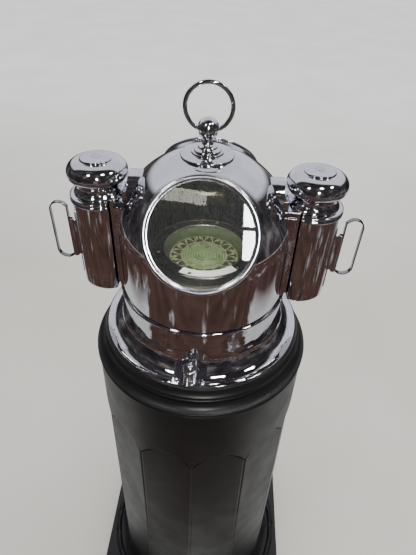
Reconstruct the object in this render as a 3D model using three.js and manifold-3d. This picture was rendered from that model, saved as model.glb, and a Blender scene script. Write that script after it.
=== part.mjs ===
// A ship's steering-compass binnacle: a chromed hood with two side oil lamps on a
// twelve-sided black column. Millimetres, +Z up, front at -Y, origin under the base's centre.
import * as THREE from 'three';
import { mergeVertices } from 'three/addons/utils/BufferGeometryUtils.js';
import Module from 'manifold-3d';

const wasm = await Module();
wasm.setup();

// ---------- driving dimensions ----------
const GAP = 0.3; // clearance between touching pieces
const FLANGE_Z = 960; // top of the hood flange above the deck

const BASE_SIDE = 526;
const BASE_THICK = 22;
const BASE_CORNER_R = 14;
const DECK_BOLT_R = 7;
const DECK_BOLT_INSET = 32;

const FACETS = 12;
const COLUMN_TOP_R = 204; // over the arrises
const COLUMN_FOOT_R = 215;
const COLUMN_BORE_R = 186;
const COLUMN_BOTTOM = 110;
const COLUMN_TOP = FLANGE_Z - 56;
const ARCH_PEAK = FLANGE_Z - 180;
const ARCH_RISE = 39;

const FOOT_R = 236; // foot moulding over its corners
const LOBES = 24;
const LOBE_OUTER_R = 256;

const DOOR_Z = 560; // centre of the access door
const DOOR_HALF_W = 36;
const DOOR_HALF_H = 120;
const DOOR_THICK = 5;
const DOOR_FACET = 5; // facets counted round from the front arris

const FLANGE_R = 180;
const SKIRT_R = 145.5;
const SKIRT_BORE_R = 140.5;
const SKIRT_FILLET_R = 34;
const BEAD_Z = 85;
const HOOD_R = 144.5;
const HOOD_WALL = 3;
const DOME_Z = 189; // height where the dome springs
const DOME_RISE = 141;

const WINDOW_TILT = 30; // degrees above the horizon
const WINDOW_SIGHT_R = 77;
const WINDOW_RIM_R = 87;
const WINDOW_RIM_AT = 128; // rim plane from the dome's centre
const GLASS_R = 79.6;

const CLAMPS = 3;
const CLAMP_CIRCLE_R = 160;
const POCKET_HALF_W = 28;
const CLAMP_AZIMUTH = -3.2; // degrees from the front

const BALL_Z = 366;
const BALL_R = 16;
const RING_Z = 396;
const RING_R = 34;
const RING_WIRE_R = 3.25;

const GIMBAL_Z = 140;
const GIMBAL_R = 94; // inside of the gimbal ring
const CASE_R = 130;
const BOWL_R = 84;
const BOWL_LOW = 66; // underside of the bowl
const BOWL_RIM = 151.5;
const BEZEL_R = 87;
const BEZEL_THICK = 5.5;
const BOWL_SIGHT_R = 67.4;
const CARD_Z = 138; // face of the card
const CARD_R = 59.5;
const CARD_INNER_R = 39;

const LAMP_X = 171;
const LAMP_R = 45;
const LAMP_FLAT = -21; // flat back of the lamp, from its own axis
const LAMP_BOTTOM = 81;
const LAMP_SHOULDER = 243;
const LIGHT_PORT_Z = 205;
const LIGHT_PORT_R = 15;
const LIGHT_BOX_FACE = 149; // from the binnacle's axis
const HANDLE_X = 57; // handle hinge from the lamp's axis
const HANDLE_REACH = 33;
const HANDLE_LOW = 117;
const HANDLE_HIGH = 230;
const HANDLE_PIN_R = 2.5;
const BARREL_LOW = 124;
const BARREL_HIGH = 196;

const FINE = 24; // sides of the large, medium and small turnings
const MEDIUM = 14;
const COARSE = 8;

// ---------- materials ----------
const finish = (color, metalness, roughness) => () =>
  new THREE.MeshStandardMaterial({ color, metalness, roughness });
const chrome = finish(0xd9d9e2, 1, 0.06);
const blackPaint = finish(0x1a1a1c, 0.1, 0.42);
const brass = finish(0xb08d4a, 1, 0.3);
const innerBrass = finish(0x77745f, 1, 0.45);
const bowlPaint = finish(0x9fb09a, 0.2, 0.5);
const lead = finish(0x55585c, 0.6, 0.6);
const cardWhite = finish(0xd8dcc6, 0, 0.6);
const labelWhite = finish(0xe8e8e2, 0, 0.5);
const clearGlass = finish(0xdfe8e6, 0, 0.03);
const cottonWick = finish(0xe6dcc2, 0, 0.95);
const steel = finish(0x9a9c9f, 1, 0.3);

// ---------- solids ----------
const TAU = Math.PI * 2;
const radians = THREE.MathUtils.degToRad;

function toManifold(geometry) {
  const bare = geometry.clone();
  for (const name of Object.keys(bare.attributes)) {
    if (name !== 'position') bare.deleteAttribute(name);
  }
  const merged = mergeVertices(bare, 1e-3);
  const vertProperties = new Float32Array(merged.attributes.position.array);
  const corners = merged.index.array;
  const kept = [];
  let volume = 0;
  const [a, b, c] = [new THREE.Vector3(), new THREE.Vector3(), new THREE.Vector3()];
  for (let i = 0; i < corners.length; i += 3) {
    const [i0, i1, i2] = [corners[i], corners[i + 1], corners[i + 2]];
    if (i0 === i1 || i1 === i2 || i0 === i2) continue;
    kept.push([i0, i1, i2]);
    a.fromArray(vertProperties, i0 * 3);
    b.fromArray(vertProperties, i1 * 3);
    c.fromArray(vertProperties, i2 * 3);
    volume += a.dot(b.cross(c));
  }
  const triVerts = new Uint32Array(kept.flatMap((t) => (volume < 0 ? [t[0], t[2], t[1]] : t)));
  return new wasm.Manifold(new wasm.Mesh({ numProp: 3, vertProperties, triVerts }));
}

function fromManifold(manifold) {
  const mesh = manifold.getMesh();
  const geometry = new THREE.BufferGeometry();
  geometry.setAttribute('position', new THREE.BufferAttribute(mesh.vertProperties, 3));
  geometry.setIndex(new THREE.BufferAttribute(mesh.triVerts, 1));
  return geometry;
}

const combine = (how, first, others) => {
  const solids = others.map(toManifold);
  return fromManifold(solids.reduce((sum, next) => sum[how](next), toManifold(first)));
};
const join = (first, ...others) => combine('add', first, others);
const cut = (first, ...others) => combine('subtract', first, others);
const common = (first, ...others) => combine('intersect', first, others);

// A solid of revolution about Z; the profile is a list of [radius, z].
function turned(profile, segments = FINE, start = 0) {
  const points = profile.map(([r, z]) => new THREE.Vector2(r, z));
  return new THREE.LatheGeometry(points, segments, start).rotateX(Math.PI / 2);
}

// The same for a ring, whose profile closes on itself.
const turnedRing = (profile, segments = FINE, start = 0) =>
  turned([...profile, profile[0]], segments, start);

const rod = (r, low, high, segments = MEDIUM) =>
  turned([[0, low], [r, low], [r, high], [0, high]], segments);

const tube = (inner, outer, low, high, segments = FINE) =>
  turnedRing([[inner, low], [outer, low], [outer, high], [inner, high]], segments);

function rodAlong(axis, r, from, to, segments = COARSE) {
  const geometry = rod(r, from, to, segments);
  if (axis === 'x') geometry.rotateY(Math.PI / 2);
  if (axis === 'y') geometry.rotateX(-Math.PI / 2);
  return geometry;
}

function block([x0, y0, z0], [x1, y1, z1]) {
  const geometry = new THREE.BoxGeometry(x1 - x0, y1 - y0, z1 - z0);
  return geometry.translate((x0 + x1) / 2, (y0 + y1) / 2, (z0 + z1) / 2);
}

// Points on an arc of an ellipse, angles in degrees from the radial direction.
function arc([r, z], [width, height], from, to, steps) {
  return Array.from({ length: steps + 1 }, (_, i) => {
    const angle = radians(from + ((to - from) * i) / steps);
    return [r + width * Math.cos(angle), z + height * Math.sin(angle)];
  });
}

// An outline in X and Z, extruded along Y.
function upright(shape, from, to, curveSegments = 12) {
  const geometry = new THREE.ExtrudeGeometry(shape, {
    depth: to - from, bevelEnabled: false, curveSegments,
  });
  return geometry.rotateX(Math.PI / 2).translate(0, to, 0);
}

const root = new THREE.Group();

function add(group, name, geometry, material) {
  const mesh = new THREE.Mesh(fromManifold(toManifold(geometry)), material());
  mesh.name = name;
  group.add(mesh);
  return mesh;
}

function subgroup(parent, z, x = 0, turn = 0) {
  const group = new THREE.Group();
  group.position.set(x, 0, z);
  group.rotation.z = turn;
  parent.add(group);
  return group;
}

// ---------- pedestal ----------
const ARRIS_START = Math.PI; // a corner of every twelve-sided turning faces the front
const foot = subgroup(root, 0);
const top = subgroup(root, FLANGE_Z);

function basePlate() {
  const half = BASE_SIDE / 2;
  const bevel = 3;
  const side = half - bevel;
  const outline = new THREE.Shape();
  outline.moveTo(side - BASE_CORNER_R, -side);
  outline.absarc(side - BASE_CORNER_R, BASE_CORNER_R - side, BASE_CORNER_R, -Math.PI / 2, 0);
  outline.absarc(side - BASE_CORNER_R, side - BASE_CORNER_R, BASE_CORNER_R, 0, Math.PI / 2);
  outline.absarc(BASE_CORNER_R - side, side - BASE_CORNER_R, BASE_CORNER_R, Math.PI / 2, Math.PI);
  outline.absarc(BASE_CORNER_R - side, BASE_CORNER_R - side, BASE_CORNER_R, Math.PI, 1.5 * Math.PI);
  const plate = new THREE.ExtrudeGeometry(outline, {
    depth: BASE_THICK - 2 * bevel, bevelThickness: bevel, bevelSize: bevel, bevelSegments: 1,
    curveSegments: 3,
  }).translate(0, 0, bevel);
  const bolt = half - DECK_BOLT_INSET;
  const holes = [[-bolt, -bolt], [bolt, -bolt], [bolt, bolt], [-bolt, bolt]].map(([x, y]) =>
    rod(DECK_BOLT_R, -1, BASE_THICK + 1, COARSE).translate(x, y, 0));
  return cut(plate, ...holes);
}

function footMoulding() {
  const low = BASE_THICK + GAP;
  const high = COLUMN_BOTTOM - GAP;
  const flare = arc([FOOT_R - 1, low + 60], [FOOT_R - COLUMN_FOOT_R - 1, 54], 270, 180, 4);
  const profile = [[COLUMN_BORE_R, low], [FOOT_R, low], [FOOT_R, low + 5], ...flare,
    [COLUMN_FOOT_R, high], [COLUMN_BORE_R, high]];
  return turnedRing(profile, FACETS, ARRIS_START);
}

// A scalloped ring lies round the foot of the moulding.
function lobeRing() {
  const low = BASE_THICK + GAP;
  const inner = FOOT_R + 1.5;
  const profile = [[inner, low], [LOBE_OUTER_R, low], [LOBE_OUTER_R, low + 4], [inner + 9, low + 9],
    [inner, low + 6]];
  return turnedRing(profile, LOBES * 2);
}

// The plane of one flat side: tangent along X, up the slope along Z, outward along -Y.
const APOTHEM = Math.cos(Math.PI / FACETS);
const SLOPE = Math.atan((COLUMN_FOOT_R - COLUMN_TOP_R) / (COLUMN_TOP - COLUMN_BOTTOM) * APOTHEM);
function onFacet(geometry, index, z) {
  const run = (COLUMN_TOP - z) / (COLUMN_TOP - COLUMN_BOTTOM);
  const apothem = (COLUMN_TOP_R + (COLUMN_FOOT_R - COLUMN_TOP_R) * run) * APOTHEM;
  return geometry.rotateX(-SLOPE).translate(0, -apothem, z)
    .rotateZ(((index + 0.5) / FACETS) * TAU);
}

function archCutter(index) {
  const halfWidth = 60;
  const halfFacet = COLUMN_TOP_R * Math.sin(Math.PI / FACETS);
  const steps = 10;
  const outline = new THREE.Shape();
  const low = COLUMN_BOTTOM - ARCH_PEAK - 20;
  outline.moveTo(-halfWidth, low);
  outline.lineTo(halfWidth, low);
  for (let i = 0; i <= steps; i += 1) {
    const u = halfWidth * (1 - (2 * i) / steps);
    outline.lineTo(u, -ARCH_RISE * (u / halfFacet) ** 2);
  }
  const prism = upright(outline, -40, 0);
  return onFacet(prism, index, ARCH_PEAK);
}

function doorBlock(grow, outward, inward) {
  return block([-DOOR_HALF_W - grow, -outward, -DOOR_HALF_H - grow],
    [DOOR_HALF_W + grow, inward, DOOR_HALF_H + grow]);
}

function column() {
  const blank = turnedRing([[COLUMN_BORE_R, COLUMN_BOTTOM], [COLUMN_FOOT_R, COLUMN_BOTTOM],
    [COLUMN_TOP_R, COLUMN_TOP], [COLUMN_BORE_R, COLUMN_TOP]], FACETS * 4);
  const flats = Array.from({ length: FACETS }, (_, i) => archCutter(i));
  const doorway = onFacet(doorBlock(1.2, 20, 60), DOOR_FACET, DOOR_Z);
  return cut(blank, ...flats, doorway);
}

const HINGE_U = -DOOR_HALF_W - 5;
const HINGE_OUT = 4.2;
const KNUCKLE_R = 3.4;
const HINGE_PIN_R = 1.5;
const knuckle = (r, low, high) => rod(r, low, high, COARSE).translate(HINGE_U, -HINGE_OUT, 0);

function accessDoor() {
  const panel = doorBlock(0, 0, DOOR_THICK);
  const leaf = join(block([HINGE_U, -2.4, -50], [HINGE_U + 20, -GAP, 50]),
    block([1 - DOOR_HALF_W, -2.4, -50], [HINGE_U + 20, 0.5, 50]));
  const bores = knuckle(HINGE_PIN_R + GAP, -90, 90);
  return onFacet(cut(join(panel, leaf, knuckle(KNUCKLE_R, -50, 50)), bores), DOOR_FACET, DOOR_Z);
}

function doorHinge() {
  const leaf = block([HINGE_U - 11, -2.4, -80], [HINGE_U - KNUCKLE_R - GAP, -GAP, 80]);
  const pieces = [[-80, -50 - GAP], [50 + GAP, 80]].flatMap(([low, high]) => [
    knuckle(KNUCKLE_R, low, high),
    block([HINGE_U - 6, -2.4, low], [HINGE_U, -0.9, high]),
  ]);
  return onFacet(join(leaf, ...pieces, knuckle(HINGE_PIN_R, -78, 78)), DOOR_FACET, DOOR_Z);
}

function doorKnob() {
  const profile = [[0, GAP], [5, GAP], [3.5, 6], [8, 10], [9, 13], [7, 16], [0, 17]];
  const knob = turned(profile, COARSE).rotateX(Math.PI / 2).translate(DOOR_HALF_W - 12, 0, 0);
  return onFacet(knob, DOOR_FACET, DOOR_Z);
}

function topCollar() {
  const profile = [[142, -72], [COLUMN_BORE_R - GAP, -72], [COLUMN_BORE_R - GAP, -56 + GAP],
    [205, -56 + GAP], [206.5, -54], [206.5, -51], [204.5, -48.5],
    ...arc([207, -29], [17, 17], 255, 185, 3), [191.5, -26], [190, -22.5],
    ...arc([198, -5], [14, 14], 225, 180, 2), [183, -3.8],
    [154, -3.8], [154, -50], [142, -50]];
  const holes = clampPlaces((angle) =>
    rod(4.4, -34, 0, COARSE).translate(0, -CLAMP_CIRCLE_R, 0).rotateZ(angle));
  return cut(turnedRing(profile), ...holes);
}

function clampPlaces(make) {
  return Array.from({ length: CLAMPS }, (_, i) =>
    make(radians(CLAMP_AZIMUTH) + (i / CLAMPS) * TAU));
}

add(foot, 'base_plate', basePlate(), blackPaint);
add(foot, 'foot_moulding', footMoulding(), blackPaint);
add(foot, 'foot_lobe_ring', lobeRing(), blackPaint);
add(foot, 'column', column(), blackPaint);
add(foot, 'access_door', accessDoor(), blackPaint);
add(foot, 'door_hinge', doorHinge(), brass);
add(foot, 'door_knob', doorKnob(), brass);
add(top, 'top_collar', topCollar(), blackPaint);

// ---------- compensating magnets in the column ----------
const TUBE_LOW = -420;
const BUCKET_LOW = -310;

function magnetTray(turn) {
  const bar = block([-COLUMN_BORE_R, -32, -9], [COLUMN_BORE_R, 32, 9]);
  const slots = [-26, 26].map((y) => rodAlong('x', 4, 30, 200, 12).translate(0, y, 0));
  const rest = common(bar, rod(COLUMN_BORE_R - GAP, -20, 20, FINE));
  return cut(rest, rod(24, -20, 20), ...slots).rotateZ(turn);
}

function heelingBucket() {
  const cup = turned([[0, 0], [18, 0], [18, 60], [15.5, 60], [15.5, 3], [0, 3]], COARSE);
  return cup.translate(0, 0, BUCKET_LOW);
}

add(top, 'floor_plate', tube(24, 153.6, -50 + GAP, -44), blackPaint);
add(top, 'heeling_tube', tube(20, 22, TUBE_LOW, -44, MEDIUM), brass);
add(top, 'heeling_bucket', heelingBucket(), brass);
add(top, 'magnet_tray_athwart', magnetTray(0).translate(0, 0, -215), innerBrass);
add(top, 'magnet_tray_fore_aft', magnetTray(Math.PI / 2).translate(0, 0, -245), innerBrass);

// ---------- compass ----------
const BEZEL_LOW = BOWL_RIM + GAP;
const BEZEL_TOP = BEZEL_LOW + BEZEL_THICK;

function compassCase() {
  const profile = [[110, -44 + GAP], [148, -44 + GAP], [148, -38], [CASE_R, -38],
    [CASE_R, 112], [CASE_R - 3, 112], [CASE_R - 3, -38], [110, -38]];
  return turnedRing(profile);
}

// A post that stands on the rim of the case and holds one pin of the outer gimbal.
function gimbalBearing(side) {
  const post = block([119, -9, 112 + GAP], [CASE_R + 1, 9, GIMBAL_Z + 9]);
  const bore = rodAlong('x', 3.4, 100, 160).translate(0, 0, GIMBAL_Z);
  const bearing = cut(post, bore);
  return side < 0 ? bearing.rotateZ(Math.PI) : bearing;
}

function gimbalRing() {
  const ring = tube(GIMBAL_R, GIMBAL_R + 8, GIMBAL_Z - 7, GIMBAL_Z + 7);
  const pins = [0, Math.PI].map((turn) =>
    rodAlong('x', 3, GIMBAL_R + 6, 128).translate(0, 0, GIMBAL_Z).rotateZ(turn));
  const bore = rodAlong('y', 3.4, -150, 150).translate(0, 0, GIMBAL_Z);
  return cut(join(ring, ...pins), bore);
}

function compassBowl() {
  const wall = 3;
  const flat = 24; // radius of the flat bottom
  const depth = 54; // of the rounded part
  const belly = [flat, BOWL_LOW + depth];
  const outer = [[0, BOWL_LOW], [flat, BOWL_LOW], ...arc(belly, [BOWL_R - flat, depth], 280, 360, 4),
    [BOWL_R, BOWL_RIM]];
  const inner = [[BOWL_R - wall, BOWL_RIM],
    ...arc(belly, [BOWL_R - flat - wall, depth - wall], 360, 280, 4),
    [flat, BOWL_LOW + wall], [0, BOWL_LOW + wall]];
  const pins = [0, Math.PI].map((turn) =>
    rodAlong('y', 3, BOWL_R - 1, GIMBAL_R + 6).translate(0, 0, GIMBAL_Z).rotateZ(turn));
  return join(turned([...outer, ...inner], FINE), ...pins);
}

const bezelProfile = [[BOWL_SIGHT_R + 3, BEZEL_LOW + 2], [BOWL_SIGHT_R + 3, BEZEL_LOW], [BEZEL_R, BEZEL_LOW],
  [BEZEL_R, BEZEL_TOP - 1.5], [BEZEL_R - 1.5, BEZEL_TOP], [BOWL_SIGHT_R + 1, BEZEL_TOP],
  [BOWL_SIGHT_R, BEZEL_TOP - 1], [BOWL_SIGHT_R, BEZEL_LOW + 2]];

function compassCard() {
  const rim = tube(CARD_INNER_R, CARD_R, CARD_Z - 1.2, CARD_Z);
  const float = turned([[0, CARD_Z - 12], [24, CARD_Z - 12], [CARD_INNER_R + 3, CARD_Z - 1.2],
    [CARD_INNER_R + 3, CARD_Z], [0, CARD_Z]]);
  return cut(join(rim, float), rod(3, 100, CARD_Z - 5, COARSE));
}

const POST_LOW = BOWL_LOW + 3 + GAP;
const pivotPost = turned([[0, POST_LOW], [16, POST_LOW], [16, POST_LOW + 6], [5, POST_LOW + 10], [5, 112],
  [2, 120], [2, CARD_Z - 5.6], [0, CARD_Z - 5.4]], COARSE);

function bowlBallast() {
  const high = BOWL_LOW - GAP;
  return turned([[0, high - 20], [30, high - 20], [36, high - 14], [36, high - 5], [24, high], [0, high]],
    MEDIUM);
}

const lubberPin = join(block([-1, 1 - BOWL_R + 3, CARD_Z - 3], [1, -CARD_R - 2, CARD_Z - 1.5]),
  block([-3, 1 - BOWL_R + 2.6, CARD_Z - 8], [3, 3.6 - BOWL_R + 3, CARD_Z + 3]));

// A strip bent along the bezel, a little to the right of the front.
function labelPlate() {
  const [from, to] = [-25, 43].map((azimuth) => radians(azimuth - 90));
  const outline = new THREE.Shape();
  outline.absarc(0, 0, BEZEL_R - 3, from, to, false);
  outline.absarc(0, 0, BOWL_SIGHT_R + 2, to, from, true);
  const strip = new THREE.ExtrudeGeometry(outline, { depth: 0.8, bevelEnabled: false, curveSegments: 8 });
  return strip.translate(0, 0, BEZEL_TOP + GAP);
}

add(top, 'compass_case', compassCase(), innerBrass);
add(top, 'gimbal_bearing_left', gimbalBearing(-1), innerBrass);
add(top, 'gimbal_bearing_right', gimbalBearing(1), innerBrass);
add(top, 'gimbal_ring', gimbalRing(), innerBrass);
add(top, 'compass_bowl', compassBowl(), bowlPaint);
add(top, 'bezel_ring', turnedRing(bezelProfile), innerBrass);
add(top, 'bowl_glass', rod(BOWL_SIGHT_R + 2.6, BEZEL_LOW, BEZEL_LOW + 1.7, FINE), clearGlass);
add(top, 'bowl_ballast', bowlBallast(), lead);
add(top, 'pivot_post', pivotPost, brass);
add(top, 'lubber_pin', lubberPin, brass);
add(top, 'label_plate', labelPlate(), labelWhite);
add(top, 'compass_card', compassCard(), cardWhite);

// ---------- hood ----------
// The outside of the hood as a solid, grown by a clearance, to trim what sits against it.
function hoodEnvelope(grow) {
  return turned([[0, -20], [HOOD_R + grow, -20],
    ...arc([0, DOME_Z], [HOOD_R + grow, DOME_RISE + grow], 0, 90, 7)], FINE);
}

// Turns a piece modelled about Z to a window's axis, at the dome's centre.
function towardWindow(geometry, back) {
  geometry.rotateX(radians(90 - WINDOW_TILT)).translate(0, 0, DOME_Z);
  return back ? geometry.rotateZ(Math.PI) : geometry;
}

function hoodSkirt() {
  const fillet = arc([FLANGE_R - 1, SKIRT_FILLET_R], [SKIRT_FILLET_R - 1, SKIRT_FILLET_R], 270, 180, 5);
  const blank = turnedRing([[SKIRT_BORE_R, -3.5], [FLANGE_R, -3.5], [FLANGE_R, 0], ...fillet,
    [SKIRT_R, BEAD_Z - GAP], [SKIRT_BORE_R, BEAD_Z - GAP]]);
  const pockets = clampPlaces((angle) =>
    block([-POCKET_HALF_W, -200, 0.2], [POCKET_HALF_W, -146, 50]).rotateZ(angle));
  const holes = clampPlaces((angle) =>
    rod(4.4, -10, 10, COARSE).translate(0, -CLAMP_CIRCLE_R, 0).rotateZ(angle));
  return cut(blank, ...pockets, ...holes);
}

function hoodClamp(angle) {
  const knob = turned([[0, -30], [4, -30], [4, 0.5], [11, 0.5], [11, 19], [13.5, 20.5], [13.5, 24],
    [11, 27], [8.5, 31.5], [4, 34], [0, 34.5]], 12);
  return knob.translate(0, -CLAMP_CIRCLE_R, 0).rotateZ(angle);
}

function hoodDome() {
  const inner = HOOD_R - HOOD_WALL;
  const shell = turned([[0, DOME_Z + DOME_RISE - HOOD_WALL],
    ...arc([0, DOME_Z], [inner, DOME_RISE - HOOD_WALL], 90, 0, 7).slice(1),
    [inner, BEAD_Z + 6 + GAP], [HOOD_R, BEAD_Z + 6 + GAP],
    ...arc([0, DOME_Z], [HOOD_R, DOME_RISE], 0, 90, 7)], FINE);
  const openings = [false, true].map((back) =>
    towardWindow(rod(GLASS_R + 0.9, 60, 200, FINE), back));
  const ports = rodAlong('x', LIGHT_PORT_R, -170, 170).translate(0, 0, LIGHT_PORT_Z);
  return cut(shell, ...openings, ports);
}

// The window's raised rim: a rebated ring with a rounded bead, trimmed to the dome.
function windowCollar(back) {
  const outside = WINDOW_RIM_AT;
  const profile = [[GLASS_R + GAP, 95], [85, 95], [85, outside - 6], [WINDOW_RIM_R, outside - 4],
    [WINDOW_RIM_R, outside - 1.5], [85, outside], [79, outside], [WINDOW_SIGHT_R, outside - 2],
    [WINDOW_SIGHT_R, outside - 4], [GLASS_R + GAP, outside - 4]];
  return cut(towardWindow(turnedRing(profile), back), hoodEnvelope(GAP));
}

// The disc that closes a window: glass at the front, a brass shutter at the rear.
const windowPane = (back) =>
  towardWindow(rod(GLASS_R, WINDOW_RIM_AT - 7, WINDOW_RIM_AT - 4 - GAP, FINE), back);

function finialDisc() {
  const disc = turned([[0, 300], [41, 300], [41, 326.5], [39, 329], [24, 330], [24, 333], [0, 333]], MEDIUM);
  return cut(disc, hoodEnvelope(GAP));
}

function finial() {
  const low = 333 + GAP;
  const turning = turned([[0, low], [21, low], [21, low + 3], [14, low + 5], [12, low + 8], [7, low + 11],
    [6.5, low + 15], [9, low + 17], ...arc([0, BALL_Z], [BALL_R, BALL_R], -52, 90, 7)], MEDIUM);
  return cut(turning, rodAlong('x', 3, -40, 40).translate(0, 0, BALL_Z));
}

// The ring's wire is open at the foot, where two short pins enter the ball.
function liftingRing() {
  const mouth = radians(34);
  const wire = new THREE.TorusGeometry(RING_R, RING_WIRE_R, 7, 22, TAU - 2 * mouth);
  wire.rotateZ(-Math.PI / 2 + mouth).rotateX(Math.PI / 2).translate(0, 0, RING_Z);
  const ends = [mouth, -mouth].map((angle) =>
    new THREE.SphereGeometry(RING_WIRE_R, 7, 4).translate(
      RING_R * Math.sin(angle), 0, RING_Z - RING_R * Math.cos(angle)));
  const pins = [0, Math.PI].map((turn) =>
    rodAlong('x', 2.6, 10, 20).rotateZ(turn).translate(0, 0, BALL_Z));
  return join(closedWire(wire), ...ends, ...pins);
}

// Caps the two open ends of a partial torus with fans.
function closedWire(wire) {
  const bare = wire.clone();
  bare.deleteAttribute('uv');
  bare.deleteAttribute('normal');
  const { radialSegments, tubularSegments } = wire.parameters;
  const corners = Array.from(bare.index.array);
  const row = tubularSegments + 1;
  for (let j = 1; j < radialSegments - 1; j += 1) {
    corners.push(0, j * row, (j + 1) * row);
    corners.push(tubularSegments, tubularSegments + (j + 1) * row, tubularSegments + j * row);
  }
  bare.setIndex(corners);
  return bare;
}

// An arch-headed prism along X, for the light box.
function archBlock(x0, x1, halfWidth, low, spring) {
  const outline = new THREE.Shape();
  outline.moveTo(-halfWidth, low);
  outline.lineTo(halfWidth, low);
  outline.absarc(0, spring, halfWidth, 0, Math.PI);
  return upright(outline, x0, x1, 8).rotateZ(-Math.PI / 2);
}

function lightBox() {
  const pad = block([100, -35, BEAD_Z + 7], [LIGHT_BOX_FACE, 35, 255]);
  const cheeks = block([100, -45, BEAD_Z + 7], [142, 45, 250]);
  const crown = archBlock(80, 121.5, 34, 100, 258);
  const bridge = block([100, -30, 240], [129.3, 30, 270]);
  const port = rodAlong('x', LIGHT_PORT_R, 60, 180).translate(0, 0, LIGHT_PORT_Z);
  return cut(join(pad, cheeks, bridge, crown), hoodEnvelope(GAP), port);
}

const BEAD_BORE_R = 141.5;
const beadProfile = [[BEAD_BORE_R, BEAD_Z], [SKIRT_R, BEAD_Z],
  ...arc([SKIRT_R, BEAD_Z + 3], [3, 3], 290, 430, 2), [SKIRT_R, BEAD_Z + 6], [BEAD_BORE_R, BEAD_Z + 6]];

add(top, 'hood_skirt', hoodSkirt(), chrome);
add(top, 'hood_bead', turnedRing(beadProfile), chrome);
add(top, 'hood_dome', hoodDome(), chrome);
for (const back of [false, true]) {
  const end = back ? 'rear' : 'front';
  add(top, `${end}_window_collar`, windowCollar(back), chrome);
}
add(top, 'front_window_glass', windowPane(false), clearGlass);
add(top, 'rear_window_shutter', windowPane(true), innerBrass);
clampPlaces((angle) => hoodClamp(angle)).forEach((clamp, i) =>
  add(top, `hood_clamp_${i + 1}`, clamp, chrome));
add(top, 'finial_disc', finialDisc(), chrome);
add(top, 'finial', finial(), chrome);
add(top, 'lifting_ring', liftingRing(), chrome);

// ---------- lamps, each modelled about its own axis with its outer side at +X ----------
// Keeps the part of a round piece in front of the lamp's flat back.
const flatBacked = (geometry, at) => common(geometry, block([at, -80, 0], [80, 80, 400]));

function lampBody() {
  const outside = flatBacked(turned([[0, LAMP_BOTTOM], [LAMP_R - 3, LAMP_BOTTOM], [LAMP_R, LAMP_BOTTOM + 3],
    [LAMP_R, LAMP_SHOULDER], [0, LAMP_SHOULDER]], MEDIUM), LAMP_FLAT);
  const inside = flatBacked(rod(LAMP_R - 2, LAMP_BOTTOM + 2, LAMP_SHOULDER + 5, MEDIUM), LAMP_FLAT + 2);
  const light = rodAlong('x', LIGHT_PORT_R, -30, 0).translate(0, 0, LIGHT_PORT_Z);
  return cut(outside, inside, light);
}

function lampFont() {
  const high = 126;
  const low = LAMP_BOTTOM + 2 + GAP;
  const tank = flatBacked(rod(38, low, high), LAMP_FLAT + 3);
  const oil = flatBacked(rod(36, low + 2, high - 2), LAMP_FLAT + 5);
  return cut(tank, oil, rod(12, high - 10, high + 10, COARSE));
}

function lampBurner() {
  const low = 126 + GAP;
  const body = turned([[0, low], [17, low], [17, low + 4], [13, low + 6], [12, low + 16], [8.5, low + 26],
    [0, low + 26]], 16);
  const slot = block([-1.7, -6, low - 5], [1.7, 6, low + 40]);
  const wheelSlot = block([0, -3.2, 134], [7.2, 3.2, 142]);
  const bore = rodAlong('y', 1.6, -30, 30).translate(4.4, 0, 138);
  return cut(body, slot, wheelSlot, bore);
}

function wickWheel() {
  const shaft = rodAlong('y', 1.2, -8, 26);
  const wheel = rodAlong('y', 2.6, -2.7, 2.7);
  const knob = rodAlong('y', 6, 22, 26);
  return join(shaft, wheel, knob).translate(4.4, 0, 138);
}

const topRingProfile = [[40, LAMP_SHOULDER + GAP], [46, LAMP_SHOULDER + GAP],
  [48.5, LAMP_SHOULDER + 3], [46.5, LAMP_SHOULDER + 6], [48, LAMP_SHOULDER + 9],
  [45, LAMP_SHOULDER + 12], [40, LAMP_SHOULDER + 12]];

function lampCap() {
  const low = LAMP_SHOULDER + 12 + GAP;
  return turned([[0, 312], [23.5, 312], [24.5, 311], [24.5, 308.5],
    ...arc([29, 289], [19, 19], 90, -10, 4), [45, 278], [36, 268], [36, 262], [41, low + 1.5], [41, low],
    [37, low], [33, 263], [41, 284], [22, 302], [0, 304]], MEDIUM);
}

function lampHinge() {
  const plate = common(block([30, -9, 92], [60, 9, 216]), tube(LAMP_R + GAP, LAMP_R + 2.3, 80, 230, FINE));
  const web = block([LAMP_R + 1.4, -1.6, BARREL_LOW], [HANDLE_X - 2, 1.6, BARREL_HIGH]);
  const barrel = rod(4.8, BARREL_LOW, BARREL_HIGH, COARSE).translate(HANDLE_X, 0, 0);
  const bore = rod(HANDLE_PIN_R + 0.4, 100, 220, COARSE).translate(HANDLE_X, 0, 0);
  return cut(join(plate, web, barrel), bore);
}

// A flat strip bent to a long loop, its inner leg a round pin in the hinge barrel.
function lampHandle() {
  const radius = HANDLE_REACH / 2;
  const middle = HANDLE_X + radius;
  const strip = (r) => {
    const path = r === radius ? new THREE.Shape() : new THREE.Path();
    path.absarc(middle, HANDLE_HIGH - radius, r, 0, Math.PI);
    path.absarc(middle, HANDLE_LOW + radius, r, Math.PI, TAU);
    path.closePath();
    return path;
  };
  const outline = strip(radius);
  outline.holes.push(strip(radius - 2.2));
  const loop = upright(outline, -4, 4, 8);
  const [low, high] = [BARREL_LOW - 2, BARREL_HIGH + 2];
  const room = block([HANDLE_X - 8, -8, low], [HANDLE_X + 6, 8, high]);
  const lugs = [low - 4, high].map((z) =>
    block([HANDLE_X - 1, -HANDLE_PIN_R, z], [HANDLE_X + 3, HANDLE_PIN_R, z + 4]));
  const pin = rod(HANDLE_PIN_R, low - 4, high + 4, COARSE).translate(HANDLE_X, 0, 0);
  return join(cut(loop, room), pin, ...lugs);
}

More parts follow.
